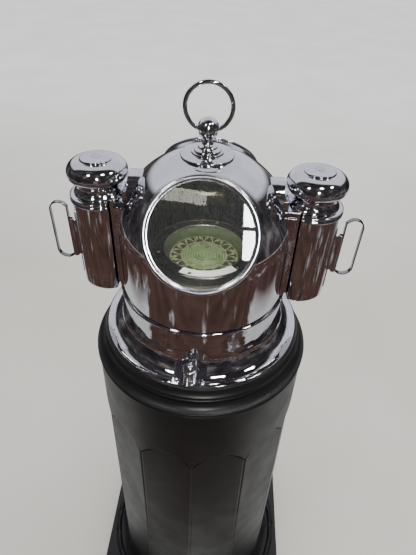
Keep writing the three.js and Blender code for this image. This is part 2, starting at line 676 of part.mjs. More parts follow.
function addLamp(side, turn) {
  const lamp = subgroup(root, FLANGE_Z, turn ? -LAMP_X : LAMP_X, turn);
  const beside = subgroup(root, FLANGE_Z, 0, turn);
  add(beside, `light_box_${side}`, lightBox(), chrome);
  add(lamp, `lamp_body_${side}`, lampBody(), chrome);
  add(lamp, `lamp_window_${side}`, rodAlong('x', 17, LAMP_FLAT + 2 + GAP, LAMP_FLAT + 3.8)
    .translate(0, 0, LIGHT_PORT_Z), clearGlass);
  add(lamp, `lamp_top_ring_${side}`, flatBacked(turnedRing(topRingProfile, 40), LAMP_FLAT), chrome);
  add(lamp, `lamp_cap_${side}`, lampCap(), chrome);
  add(lamp, `lamp_font_${side}`, lampFont(), brass);
  add(lamp, `lamp_burner_${side}`, lampBurner(), brass);
  add(lamp, `lamp_wick_${side}`, block([-1.3, -5.6, 98], [1.3, 5.6, 156]), cottonWick);
  add(lamp, `wick_wheel_${side}`, wickWheel(), steel);
  add(lamp, `lamp_hinge_${side}`, lampHinge(), chrome);
  add(lamp, `lamp_handle_${side}`, lampHandle(), chrome);
}

addLamp('right', 0);
addLamp('left', Math.PI);

export default root;
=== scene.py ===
import math

import bmesh
import bpy
from mathutils import Matrix, Vector


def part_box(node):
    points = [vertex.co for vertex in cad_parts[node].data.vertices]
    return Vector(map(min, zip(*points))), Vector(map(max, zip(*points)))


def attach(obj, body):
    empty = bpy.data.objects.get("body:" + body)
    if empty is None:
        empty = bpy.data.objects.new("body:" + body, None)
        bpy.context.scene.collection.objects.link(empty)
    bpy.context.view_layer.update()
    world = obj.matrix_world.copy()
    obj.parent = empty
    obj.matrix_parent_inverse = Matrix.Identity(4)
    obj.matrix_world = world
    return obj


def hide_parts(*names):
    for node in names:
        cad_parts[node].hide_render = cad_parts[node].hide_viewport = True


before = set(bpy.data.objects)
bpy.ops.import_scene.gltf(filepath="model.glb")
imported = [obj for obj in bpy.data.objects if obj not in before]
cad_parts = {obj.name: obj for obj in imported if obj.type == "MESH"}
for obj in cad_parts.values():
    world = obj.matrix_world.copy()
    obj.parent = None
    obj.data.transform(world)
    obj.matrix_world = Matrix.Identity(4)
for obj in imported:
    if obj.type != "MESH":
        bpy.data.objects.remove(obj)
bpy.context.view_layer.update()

# Shapes below are in millimetres and angles in radians, unless a name says otherwise. Z is counted
# from the top of the hood's flange; below its collar the pedestal is counted from the deck instead.
MM = 0.001
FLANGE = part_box("hood_skirt")[0].z / MM + 3.5
ABOVE_FLANGE = Matrix.Translation((0, 0, FLANGE))
ON_DECK = Matrix.Identity(4)
TAU = math.tau
SEAM = 0.3
EYE_LEVEL_M = 1.2
QUARTER = math.radians(90)

HOOD_R = 144.5
HOOD_WALL = 3.0
DOME_LOW = 92
DOME_Z = 189.0
DOME_RISE = 141.0
BEAD_Z = 85.0
SKIRT_R = 145.5
SKIRT_BORE_R = 140.5
FLANGE_R = 180.0
FILLET_R = 34.0

WINDOW_TILT_DEG = 30.0
WINDOW_RIM_AT = 128.0
WINDOW_OPENING_R = 82.0
WINDOW_SIGHT_R = 77.0
GLASS_R = 79.6

CLAMP_CIRCLE_R = 160.0
CLAMP_AZIMUTH_DEG = -3.2

BALL_Z = 366.0
BALL_R = 16.0
RING_Z = 396.0
RING_R = 34.0
RING_WIRE_R = 3.2

GIMBAL_Z = 140.0
GIMBAL_R = 94.0
BOWL_R = 84.0
BOWL_LOW = 66.0
BEZEL_LOW = 151.8
BEZEL_TOP = 157.3
BEZEL_R = 87.0
BOWL_SIGHT_R = 67.4
CARD_Z = 138.0
CARD_R = 59.5
CARD_INNER_R = 39.0
ROSE_TURN_DEG = 15.4
BEZEL_SCREW_CIRCLE_R = 79.8
BEZEL_SCREW_TURN_DEG = -13.4
LABEL_SPAN_DEG = (-25, 43)

LAMP_X = 171.0
LAMP_R = 45.0
LAMP_FLAT = -21.0
LAMP_BOTTOM = 81.0
LAMP_SHOULDER = 243.0
HANDLE_X = 57.0

FACETS = 12
HALF_FACET = math.pi / FACETS
ARRIS_SHARE = 0.9985
PANEL_ROUND = 0.4
GROOVE_TURN = 0.009
GROOVE_DEEP = 1.9
COLUMN_WALL = 6.0
COLUMN_TOP_R = 204.0
COLUMN_FOOT_R = 215.0
COLUMN_LOW = 110.0
COLUMN_HIGH = FLANGE - 56
ARCH_PEAK = FLANGE - 180
ARCH_RISE = 39.0
BASE_THICK = 22.0
FOOT_R = 236.0
FOOT_BORE_R = 186
LOBES = 24
LOBE_RING_R = 255.5

DOOR_FACET = 5
DOOR_TURN = (DOOR_FACET + 0.5) * 2 * HALF_FACET
DOOR_Z = 560.0
DOOR_HALF_W = 36
DOOR_HALF_H = 120
DOOR_GAP = 0.6
HINGE_HALF_H = 80
DOOR_BARREL_HALF_H = 50
HINGE_AXIS = (-41, -4.2, 0)
LEAF_FACE = -2.4


# ---------- places, profiles and meshes ----------
def moved(x, y, z):
    return Matrix.Translation((x, y, z))


def rotated(angle, axis="Z"):
    return Matrix.Rotation(angle, 4, axis)


def polar(radius, angle, z):
    """A point at an angle from the front, which is -Y."""
    return (radius * math.sin(angle), -radius * math.cos(angle), z)


def between(low, high, share):
    return low + (high - low) * share


def facing(turn):
    """A place on the flange's level, turned about the hood's axis."""
    return ABOVE_FLANGE @ rotated(turn)


def arc(centre, size, start, end, steps):
    """Points on an ellipse's arc in (radius, z), angles in degrees from the radial direction."""
    points = []
    for i in range(steps + 1):
        angle = math.radians(start + (end - start) * i / steps)
        points.append((centre[0] + size[0] * math.cos(angle), centre[1] + size[1] * math.sin(angle)))
    return points


def softened(profile, radius=0.8, steps=3, closed=False):
    """The profile with its corners rounded, so that edges catch the light."""
    points = [Vector(p) for p in profile]
    out = []
    count = len(points)
    for i, here in enumerate(points):
        if not closed and i in (0, count - 1):
            out.append(here)
            continue
        before = points[i - 1] - here
        after = points[(i + 1) % count] - here
        if before.length < 1e-6 or after.length < 1e-6:
            continue
        if before.angle(after) > math.radians(155):
            out.append(here)
            continue
        start = here + before.normalized() * min(radius, before.length * 0.45)
        end = here + after.normalized() * min(radius, after.length * 0.45)
        for k in range(steps + 1):
            t = k / steps
            out.append(start * (1 - t) ** 2 + here * 2 * t * (1 - t) + end * t**2)
    return [tuple(p) for p in out]


def added(name, data):
    """A new object in the scene."""
    thing = bpy.data.objects.new(name, data)
    bpy.context.scene.collection.objects.link(thing)
    return thing


def build(name, verts, faces, place=ABOVE_FLANGE, sharp=38.0):
    """A mesh object from points in millimetres, with smooth shading between sharp edges."""
    mesh = bpy.data.meshes.new(name)
    mesh.from_pydata([(place @ Vector(v)) * MM for v in verts], [], faces)
    tidy = bmesh.new()
    tidy.from_mesh(mesh)
    bmesh.ops.remove_doubles(tidy, verts=tidy.verts, dist=1e-6)
    bmesh.ops.recalc_face_normals(tidy, faces=tidy.faces)
    tidy.to_mesh(mesh)
    tidy.free()
    mesh.shade_smooth()
    mesh.set_sharp_from_angle(angle=math.radians(sharp))
    return added(name, mesh)


def grid_faces(rows, columns, wrap_rows, wrap_columns):
    faces = []
    for i in range(rows if wrap_rows else rows - 1):
        for j in range(columns if wrap_columns else columns - 1):
            a, b = i * columns, ((i + 1) % rows) * columns
            k = (j + 1) % columns
            faces.append((a + j, a + k, b + k, b + j))
    return faces


def turned(name, profile, segments=160, closed=False, place=ABOVE_FLANGE, shape=None):
    """A solid of revolution about Z. shape may move each point of it."""
    verts = []
    for r, z in profile:
        for j in range(segments):
            point = polar(r, TAU * j / segments, z)
            verts.append(shape(point) if shape else point)
    return build(name, verts, grid_faces(len(profile), segments, closed, True), place)


def swept(name, path, section, closed=False, place=ABOVE_FLANGE, side=Vector((0, 1, 0))):
    """A section swept along a path that lies in a plane; side is that plane's normal."""
    verts = []
    count = len(path)
    for i, here in enumerate(path):
        if closed:
            before, after = path[i - 1], path[(i + 1) % count]
        else:
            before, after = path[max(i - 1, 0)], path[min(i + 1, count - 1)]
        along = (Vector(after) - Vector(before)).normalized()
        out = side.cross(along)
        verts += [Vector(here) + out * a + side * b for a, b in section]
    faces = grid_faces(count, len(section), closed, True)
    if not closed:
        size = len(section)
        faces += [tuple(range(size)), tuple(range((count - 1) * size, count * size))]
    return build(name, verts, faces, place)


def prism(name, outline, low, high, place=ABOVE_FLANGE, bevel=0.0):
    """An outline in (x, y) from low to high, with its edges rounded by bevel."""
    count = len(outline)
    verts = [(x, y, z) for z in (low, high) for x, y in outline]
    faces = [tuple(range(count)), tuple(range(count, 2 * count))] + grid_faces(2, count, False, True)
    piece = build(name, verts, faces, place)
    if bevel:
        modify(piece, "BEVEL", width=bevel * MM, segments=3, limit_method="ANGLE",
               angle_limit=math.radians(35))
        smooth(piece)
    return piece


def block(name, low, high, place=ABOVE_FLANGE, bevel=0.0):
    outline = [(low[0], low[1]), (high[0], low[1]), (high[0], high[1]), (low[0], high[1])]
    return prism(name, outline, low[2], high[2], place, bevel)


def circle(radius, steps):
    return arc((0, 0), (radius, radius), 0, 360, steps)[:-1]


def smooth(piece, sharp=38.0):
    piece.data.shade_smooth()
    piece.data.set_sharp_from_angle(angle=math.radians(sharp))


def modify(piece, kind, **settings):
    """Adds a modifier and applies it at once."""
    modifier = piece.modifiers.new(kind.lower(), kind)
    for key, value in settings.items():
        setattr(modifier, key, value)
    graph = bpy.context.evaluated_depsgraph_get()
    graph.update()
    mesh = bpy.data.meshes.new_from_object(piece.evaluated_get(graph))
    piece.modifiers.clear()
    piece.data = mesh


def cut(piece, *tools):
    for tool in tools:
        modify(piece, "BOOLEAN", object=tool, operation="DIFFERENCE", solver="EXACT")
        bpy.data.objects.remove(tool)
    smooth(piece)


def merged(name, pieces):
    """One object out of several, each of which keeps its own materials."""
    mesh = bpy.data.meshes.new(name)
    whole = bmesh.new()
    materials = []
    for piece in pieces:
        start = len(whole.faces)
        whole.from_mesh(piece.data)
        whole.faces.ensure_lookup_table()
        slots = list(piece.data.materials)
        for face in whole.faces[start:]:
            material = slots[min(face.material_index, len(slots) - 1)] if slots else None
            if material not in materials:
                materials.append(material)
            face.material_index = materials.index(material)
        bpy.data.objects.remove(piece)
    whole.to_mesh(mesh)
    whole.free()
    for material in materials:
        mesh.materials.append(material)
    return added(name, mesh)


def steady(piece):
    """Keeps flat faces flat beside small rounded edges."""
    modify(piece, "WEIGHTED_NORMAL", mode="FACE_AREA", weight=50, keep_sharp=True)


def painted(piece, material):
    piece.data.materials.clear()
    piece.data.materials.append(material)
    return piece


def fitted(piece, body, slot, material=None, replaces=()):
    """Gives a finished piece its look, its body and the CAD nodes it stands for."""
    if material:
        painted(piece, material)
    steady(piece)
    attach(piece, body)
    if replaces:
        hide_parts(*replaces)


# ---------- materials ----------
class Look:
    """A Principled material whose detail comes from noise in object space."""

    def __init__(self, name, color, metallic=0.0, roughness=0.5, **sockets):
        self.material = bpy.data.materials.new(name)
        self.material.use_nodes = True
        self.nodes = self.material.node_tree.nodes
        self.links = self.material.node_tree.links
        self.surface = self.nodes["Principled BSDF"]
        self.surface.inputs["Base Color"].default_value = (*color, 1)
        self.surface.inputs["Metallic"].default_value = metallic
        self.surface.inputs["Roughness"].default_value = roughness
        for key, value in sockets.items():
            self.surface.inputs[key.replace("_", " ")].default_value = value
        self.place = self.nodes.new("ShaderNodeTexCoord")
        self.height = None

    def node(self, kind, **inputs):
        """A new node, each input set to a value or linked to another node's output."""
        node = self.nodes.new("ShaderNode" + kind)
        for key, value in inputs.items():
            self.set(node.inputs[key.replace("_", " ")], value)
        return node

    def set(self, socket, value):
        if isinstance(value, bpy.types.NodeSocket):
            self.links.new(value, socket)
        else:
            socket.default_value = value

    def noise(self, scale, detail=3.0, stretch=(1, 1, 1), rough=0.5):
        mapping = self.node("Mapping", Scale=stretch, Vector=self.place.outputs["Object"])
        texture = self.node("TexNoise", Scale=scale, Detail=detail, Roughness=rough,
                            Vector=mapping.outputs["Vector"])
        return texture.outputs["Fac"]

    def axes(self, source=None):
        """The X, Y and Z of a direction, or of the place on the object."""
        split = self.node("SeparateXYZ", Vector=source or self.place.outputs["Object"])
        return [split.outputs[axis] for axis in "XYZ"]

    def math(self, operation, *values):
        node = self.nodes.new("ShaderNodeMath")
        node.operation = operation
        for socket, value in zip(node.inputs, values):
            self.set(socket, value)
        return node.outputs["Value"]

    def fade(self, source, start, end):
        """0 at start and 1 at end, clamped."""
        return self.node("MapRange", Value=source, From_Min=start, From_Max=end).outputs["Result"]

    def mix(self, share, first, second, blend="MIX"):
        node = self.nodes.new("ShaderNodeMix")
        node.data_type = "RGBA"
        node.blend_type = blend
        # the colour mix takes its share and its two colours from inputs 0, 6 and 7
        for socket, value in zip((node.inputs[0], node.inputs[6], node.inputs[7]), (share, first, second)):
            self.set(socket, (*value, 1) if isinstance(value, tuple) else value)
        return node.outputs[2]

    def ramp(self, source, stops):
        ramp = self.node("ValToRGB", Fac=source)
        elements = ramp.color_ramp.elements
        while len(elements) < len(stops):
            elements.new(0.5)
        for element, (at, value) in zip(elements, stops):
            element.position = at
            element.color = (*value, 1) if isinstance(value, tuple) else (value, value, value, 1)
        return ramp.outputs["Color"]

    def color(self, source, stops):
        self.set(self.surface.inputs["Base Color"], self.ramp(source, stops))

    def roughness(self, source, stops):
        self.set(self.surface.inputs["Roughness"], self.ramp(source, stops))

    def bump(self, source, strength, distance):
        node = self.node("Bump", Strength=strength, Distance=distance, Height=source)
        if self.height:
            self.links.new(self.height, node.inputs["Normal"])
        self.height = node.outputs["Normal"]
        self.links.new(self.height, self.surface.inputs["Normal"])


# ---------- metals and enamel ----------
def chrome_look(name, wave, low=0.02, high=0.09):
    look = Look(name, (0.76, 0.76, 0.81), metallic=1.0, roughness=0.05)
    look.color(look.noise(30, 4), [(0.35, (0.7, 0.7, 0.75)), (0.6, (0.8, 0.8, 0.86))])
    look.roughness(look.noise(55, 6), [(0.4, low), (0.75, high)])
    look.bump(look.noise(14, 2), wave, 0.004)
    look.bump(look.noise(48, 3), wave, 0.0012)
    look.bump(look.noise(900, 2), 0.04, 0.0002)
    look.bump(pits(look), 0.6, 0.0006)
    return look.material


def pits(look):
    """Scattered small pits, as in old plating."""
    cells = look.node("TexVoronoi", Scale=75, Vector=look.place.outputs["Object"])
    return look.ramp(cells.outputs["Distance"], [(0.03, 0.0), (0.07, 1.0)])


def black_look():
    look = Look("black_enamel", (0.006, 0.006, 0.007), roughness=0.38, Coat_Weight=0.06, Coat_Roughness=0.3)
    look.color(look.noise(9, 6), [(0.3, (0.004, 0.004, 0.005)), (0.8, (0.009, 0.0085, 0.009))])
    look.roughness(look.noise(22, 5), [(0.3, 0.34), (0.8, 0.48)])
    look.bump(look.noise(420, 3), 0.12, 0.0004)
    look.bump(look.noise(3, 2), 0.06, 0.01)
    return look.material


def brass_look(name, dark, light, rough=0.3):
    look = Look(name, light, metallic=1.0, roughness=rough)
    look.color(look.noise(26, 6), [(0.3, dark), (0.7, light)])
    look.roughness(look.noise(60, 5, (1, 1, 8)), [(0.3, rough - 0.08), (0.8, rough + 0.15)])
    look.bump(look.noise(160, 3, (1, 1, 14)), 0.12, 0.0006)
    return look.material


def patina_look(name, dark, light):
    """Brushed old brass, with a bluish bloom on one side."""
    look = Look(name, light, metallic=1.0, roughness=0.3)
    brushed = look.ramp(look.noise(26, 6, (3.2, 3.2, 0.35)), [(0.34, dark), (0.66, light)])
    bloom = look.ramp(look.noise(210, 7), [(0.47, 0.0), (0.6, 1.0)])
    reach = look.fade(look.math("ADD", look.axes()[0], look.noise(14, 4)), 0.52, 0.6)
    bluish = look.mix(look.math("MULTIPLY", bloom, reach), brushed, (0.5, 0.56, 0.66))
    look.set(look.surface.inputs["Base Color"], bluish)
    look.roughness(look.noise(70, 5, (4, 4, 0.5)), [(0.3, 0.2), (0.8, 0.42)])
    look.bump(look.noise(190, 3, (3, 3, 0.3)), 0.14, 0.0006)
    return look.material


# ---------- glass and paint ----------
def glass_look(name, tint, bend):
    """Clear glass that lets lamps through to what it covers."""
    look = Look(name, tint, roughness=0.01, Transmission_Weight=1.0, IOR=bend)
    look.bump(look.noise(5, 2), 0.03, 0.002)
    clear = look.node("BsdfTransparent", Color=(*tint, 1))
    mix = look.node("MixShader", Fac=look.node("LightPath").outputs["Is Shadow Ray"])
    look.links.new(look.surface.outputs["BSDF"], mix.inputs[1])
    look.links.new(clear.outputs["BSDF"], mix.inputs[2])
    look.links.new(mix.outputs["Shader"], look.nodes["Material Output"].inputs["Surface"])
    return look.material


def ringed_look(name, colors):
    """Turned rings about the upright axis, painted."""
    look = Look(name, colors[-1][1], roughness=0.3)
    rings = look.node("TexWave", Scale=68, Distortion=0.5, Vector=look.place.outputs["Object"])
    rings.wave_type = "RINGS"
    rings.rings_direction = "Z"
    look.color(rings.outputs["Fac"], colors)
    look.roughness(look.noise(50, 5), [(0.3, 0.22), (0.8, 0.4)])
    look.bump(rings.outputs["Fac"], 0.5, 0.0012)
    return look.material


def plain_look(name, dark, light, roughness, grain=60, metallic=0.0):
    look = Look(name, light, metallic=metallic, roughness=roughness)
    look.color(look.noise(grain, 5), [(0.3, dark), (0.75, light)])
    look.bump(look.noise(grain * 8, 2), 0.08, 0.0003)
    return look.material


CHROME = chrome_look("chrome", 0.03)
WAVY_CHROME = chrome_look("chrome_wavy", 0.35, 0.02, 0.08)
SATIN_CHROME = chrome_look("chrome_satin", 0.04, 0.14, 0.24)
BLACK = black_look()
BRASS = brass_look("brass", (0.42, 0.27, 0.09), (0.66, 0.48, 0.2))
HOOD_INSIDE = patina_look("hood_inside", (0.2, 0.19, 0.12), (0.36, 0.345, 0.235))
DULL_BRASS = brass_look("dull_brass", (0.26, 0.24, 0.18), (0.44, 0.41, 0.33), 0.36)
STEEL = brass_look("steel", (0.4, 0.4, 0.42), (0.6, 0.6, 0.62), 0.25)
BOWL_PAINT = plain_look("bowl_paint", (0.055, 0.075, 0.03), (0.1, 0.125, 0.055), 0.4)
BOWL_OUTSIDE = plain_look("bowl_outside", (0.05, 0.05, 0.045), (0.09, 0.09, 0.08), 0.5)
CARD_RING = plain_look("card_ring", (0.24, 0.235, 0.105), (0.42, 0.4, 0.2), 0.5, 90)
CARD_CENTRE = ringed_look("card_centre", [(0.1, (0.05, 0.07, 0.03)), (0.5, (0.17, 0.215, 0.105))])
CARD_BLACK = plain_look("card_black", (0.002, 0.0025, 0.002), (0.006, 0.006, 0.0055), 0.75)
LABEL = plain_look("label_white", (0.66, 0.67, 0.66), (0.76, 0.77, 0.76), 0.45)
LEAD = plain_look("ballast", (0.07, 0.07, 0.075), (0.14, 0.14, 0.15), 0.55, 40, 0.6)
COTTON = plain_look("cotton", (0.5, 0.46, 0.36), (0.78, 0.74, 0.64), 0.95, 300)
GLASS = glass_look("clear_glass", (0.97, 0.99, 0.98), 1.42)
BOWL_GLASS = glass_look("bowl_glass", (0.97, 0.99, 0.98), 1.2)
BRIGHT_RIM = brass_look("bright_rim", (0.66, 0.66, 0.64), (0.85, 0.85, 0.83), 0.16)
BEZEL = brass_look("bezel_bronze", (0.13, 0.115, 0.1), (0.24, 0.21, 0.18), 0.17)
HANDLE_STEEL = brass_look("handle_steel", (0.2, 0.2, 0.21), (0.42, 0.42, 0.44), 0.15)


# body, slot and look of the pieces that are plain chrome or plain enamel
HOOD_CHROME = ("hood", "chrome", CHROME)
COLUMN_BLACK = ("pedestal", "black_paint", BLACK)


# ---------- pedestal ----------
def facet_offset(angle):
    """How far round a direction lies from the middle of its flat side."""
    return (angle % (2 * HALF_FACET)) - HALF_FACET


def facet_columns(per_facet):
    """Directions round the column, closer together towards the arrises."""
    crowding = 0.09
    turns = []
    for k in range(FACETS):
        for j in range(per_facet):
            t = j / per_facet
            turns.append((k + t - crowding * math.sin(TAU * t)) * 2 * HALF_FACET)
        turns += [k * 2 * HALF_FACET + step * GROOVE_TURN for step in (-2, -1, 1, 2)]
    return sorted(turns)


def arris_groove(angle):
    """1 on an arris, where a fine groove runs, and 0 beside it."""
    from_arris = HALF_FACET - abs(facet_offset(angle))
    return max(0.0, 1 - from_arris / (1.5 * GROOVE_TURN))


def on_flat(corner_radius, angle):
    """Radius of a twelve-sided outline, its corners a little rounded."""
    flat = corner_radius * math.cos(HALF_FACET) / math.cos(facet_offset(angle))
    return min(flat, corner_radius * ARRIS_SHARE)


def column_radius(z):
    run = (COLUMN_HIGH - z) / (COLUMN_HIGH - COLUMN_LOW)
    return COLUMN_TOP_R + (COLUMN_FOOT_R - COLUMN_TOP_R) * run


def arch_height(angle):
    half_width = COLUMN_TOP_R * math.sin(HALF_FACET)
    across = COLUMN_TOP_R * math.tan(facet_offset(angle)) * math.cos(HALF_FACET)
    return ARCH_PEAK - ARCH_RISE * (across / half_width) ** 2


def column():
    turns = facet_columns(28)
    # how far from flat to round, how far above the arch line, and how deep the groove along it
    ledge = [(0, -6.0, 0), (0, -4.8, 1.9), (0, -2.4, 1.9), (0, -1.2, 0.4), (0.3, -0.6, 0), (0.7, 0.0, -0.4),
             (0.95, 0.8, -0.7), (1, 2.0, -0.4), (1, 3.4, 0)]
    below, above = 6.5, 4
    rows = [lambda a, t=part / 6: (0, between(COLUMN_LOW, arch_height(a) - below, t), 0)
            for part in range(7)]
    rows += [lambda a, d=depth, h=lift, s=sink: (d, arch_height(a) + h, s) for depth, lift, sink in ledge]
    rows += [lambda a, t=part / 4: (1, between(arch_height(a) + above, COLUMN_HIGH, t), 0)
             for part in range(1, 5)]
    verts = []
    for row in rows:
        for angle in turns:
            depth, z, sink = row(angle)
            round_r = column_radius(z)
            # the door's facet stays flat up to the arch, the others are a little round
            bulge = 0 if int(angle / (2 * HALF_FACET)) == DOOR_FACET else PANEL_ROUND
            depth = between(bulge, 1, depth)
            r = between(on_flat(round_r, angle), round_r * ARRIS_SHARE, depth)
            r -= max(sink, GROOVE_DEEP * arris_groove(angle) * min(1, 1.6 * (1 - depth)))
            verts.append(polar(r, angle, z))
    for z in (COLUMN_HIGH, COLUMN_LOW):
        bore = column_radius(z) * math.cos(HALF_FACET) - COLUMN_WALL
        verts += [polar(bore, angle, z) for angle in turns]
    piece = build("column_shell", verts, grid_faces(len(rows) + 2, len(turns), True, True), ON_DECK, 50)
    x, z = DOOR_HALF_W + DOOR_GAP, DOOR_HALF_H + DOOR_GAP
    cut(piece, block("doorway", (-x, -30, -z), (x, 40, z), door_place()))
    smooth(piece, 50)
    fitted(piece, *COLUMN_BLACK, ["column"])


def door_place():
    apothem = column_radius(DOOR_Z) * math.cos(HALF_FACET)
    slope = math.atan((COLUMN_FOOT_R - COLUMN_TOP_R) * math.cos(HALF_FACET) / (COLUMN_HIGH - COLUMN_LOW))
    return rotated(DOOR_TURN) @ moved(0, -apothem, DOOR_Z) @ rotated(-slope, "X")


def foot_moulding():
    low = BASE_THICK + SEAM
    high = COLUMN_LOW - SEAM
    flare = arc((FOOT_R - 1, low + 60), (FOOT_R - COLUMN_FOOT_R - 1, 54), 270, 180, 16)
    profile = [(FOOT_BORE_R, low), (FOOT_R, low), (FOOT_R, low + 5), *flare, (COLUMN_FOOT_R, high),
               (FOOT_BORE_R, high)]
    profile = softened(profile, 1.2, closed=True)
    turns = facet_columns(20)
    verts = []
    for r, z in profile:
        for angle in turns:
            # twelve-sided outside, round in the bore
            reach = on_flat(r, angle) if r > FOOT_BORE_R + 4 else r
            verts.append(polar(reach, angle, z))
    piece = build("foot_flare", verts, grid_faces(len(profile), len(turns), True, True), ON_DECK, 45)
    fitted(piece, *COLUMN_BLACK, ["foot_moulding"])


def lobe_ring():
    """A ring of rounded lobes, its surface a height field over the ring."""
    low = BASE_THICK + SEAM
    inner = FOOT_R + 1.5
    segments = LOBES * 16
    across = 9
    rows = []
    for i in range(across + 1):
        t = i / across
        rows.append((between(inner, LOBE_RING_R, t), math.sin(math.pi * (0.12 + 0.88 * t))))
    # the last two rows are the flat underside
    rows += [(LOBE_RING_R, None), (inner, None)]
    verts = []
    for r, swell in rows:
        for j in range(segments):
            angle = TAU * j / segments
            lobe = abs(math.sin(angle * LOBES / 2)) ** 0.6
            reach = inner + (r - inner) * (0.86 + 0.14 * lobe)
            rise = 0 if swell is None else 0.6 + 8 * swell * (0.35 + 0.65 * lobe)
            verts.append(polar(reach, angle, low + rise))
    piece = build("foot_lobes", verts, grid_faces(len(rows), segments, True, True), ON_DECK, 60)
    fitted(piece, *COLUMN_BLACK, ["foot_lobe_ring"])


def base_plate():
    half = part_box("base_plate")[1].x / MM
    corner = 14.0
    turn_at = half - corner
    outline = []
    for k, (x, y) in enumerate([(1, 1), (-1, 1), (-1, -1), (1, -1)]):
        outline += arc((x * turn_at, y * turn_at), (corner, corner), 90 * k, 90 * k + 90, 8)
    piece = prism("base_slab", outline, 0, BASE_THICK, ON_DECK, bevel=2.5)
    at = half - 32
    holes = [prism("hole", circle(7, 24), -5, 40, moved(x, y, 0)) for x in (-at, at) for y in (-at, at)]
    cut(piece, *holes)
    fitted(piece, *COLUMN_BLACK, ["base_plate"])


def top_collar():
    profile = [(142, -72), (185.7, -72), (185.7, -55.7), (204.5, -55.7), (206.3, -53.5), (206.3, -51),
               (204.5, -48.6), *arc((208, -29), (18, 17), 258, 188, 10), (191.5, -27.5), (191.5, -24.5),
               (189.8, -22.8), *arc((197.5, -6), (13.5, 15), 235, 180, 8), (183.2, -3.8), (154, -3.8),
               (154, -50), (142, -50)]
    piece = turned("collar_turning", softened(profile, 0.9, closed=True), 240, True)
    fitted(piece, *COLUMN_BLACK, ["top_collar"])


def access_door():
    place = door_place()
    w, h = DOOR_HALF_W, DOOR_HALF_H
    panel = painted(block("panel", (-w, 0, -h), (w, 5, h), place, bevel=0.8), BLACK)
    half = DOOR_BARREL_HALF_H
    leaf = block("leaf", (HINGE_AXIS[0], LEAF_FACE, -half), (-21, 0.4, half), place, bevel=0.5)
    fixings = [leaf, hinge_barrel(place, -half, half), *leaf_screws(place, -26, (-36, 0, 36), 2.6)]
    for piece in fixings:
        painted(piece, BRASS)
    fitted(merged("door_panel", [panel, *fixings]), "door", "black_paint", None, ["access_door"])


def leaf_screws(place, x, heights, radius):
    return [screw_head(place @ moved(x, LEAF_FACE, z) @ rotated(QUARTER, "X"), radius) for z in heights]


def hinge_barrel(place, low, high):
    profile = softened([(1.9, low), (3.4, low), (3.4, high), (1.9, high)], 0.4, closed=True)
    return turned("barrel", profile, 28, True, place @ moved(*HINGE_AXIS))


def door_hinge():
    """The hinge's fixed half: its leaf, two barrels, the pin, and tabs from leaf to barrels."""
    place = door_place()
    near, far = DOOR_BARREL_HALF_H + SEAM, HINGE_HALF_H
    leaf = block("leaf", (-52, LEAF_FACE, -far), (-44.7, -0.3, far), place, bevel=0.4)
    ends = [hinge_barrel(place, -far, -near), hinge_barrel(place, near, far)]
    tip = far + 0.2
    pin = turned("pin", softened([(0, -tip), (1.6, -tip), (1.6, tip), (0, tip)], 0.5), 20, False,
                 place @ moved(*HINGE_AXIS))
    tabs = [block("tab", (-47, LEAF_FACE, low), (HINGE_AXIS[0], -0.9, low + far - near), place)
            for low in (-far, near)]
    screws = leaf_screws(place, -48.6, (-66, -22, 22, 66), 2.4)
    hinge = merged("door_hinge_leaf", [leaf, *ends, pin, *tabs, *screws])
    fitted(hinge, "pedestal", "brass", BRASS, ["door_hinge"])


def door_knob():
    profile = [(0, 0.3), (5, 0.3), (4.4, 2), (3.5, 6), (5.2, 8), (8, 10), (9, 12.5), (8, 15), (5, 16.6),
               (0, 17)]
    place = door_place() @ moved(24, 0, 0) @ rotated(QUARTER, "X")
    knob = turned("door_pull", softened(profile, 0.9), 40, False, place)
    fitted(knob, "door", "brass", BRASS, ["door_knob"])


def screw_head(place, radius, slot_turn=0.4, height=0.9):
    """A slotted dome head that stands on the plane z = 0 of its place."""
    profile = [(0, -0.6), (radius, -0.6), (radius, height * 0.35), (radius * 0.8, height * 0.8),
               (radius * 0.4, height), (0, height)]
    head = turned("screw", profile, 24, False, place)
    reach, half = radius * 1.1, radius * 0.13
    slot = block("slot", (-reach, -half, height * 0.35), (reach, half, height + 1),
                 place @ rotated(slot_turn))
    cut(head, slot)
    return head


# ---------- hood ----------
def dome_reach(z):
    """Radius of the hood's outside at a height."""
    if z <= DOME_Z:
        return HOOD_R
    return HOOD_R * math.sqrt(max(0.0, 1 - ((z - DOME_Z) / DOME_RISE) ** 2))


def window_place(back):
    return (rotated(math.pi if back else 0) @ moved(0, 0, DOME_Z)
            @ rotated(math.radians(90 - WINDOW_TILT_DEG), "X"))


def seen_from(window, vert):
    """A vertex in a window's own frame, and how far from its axis it is on that side of the hood."""
    local = window.inverted() @ (vert.co / MM)
    return local, math.hypot(local.x, local.y) if local.z > 40 else math.inf


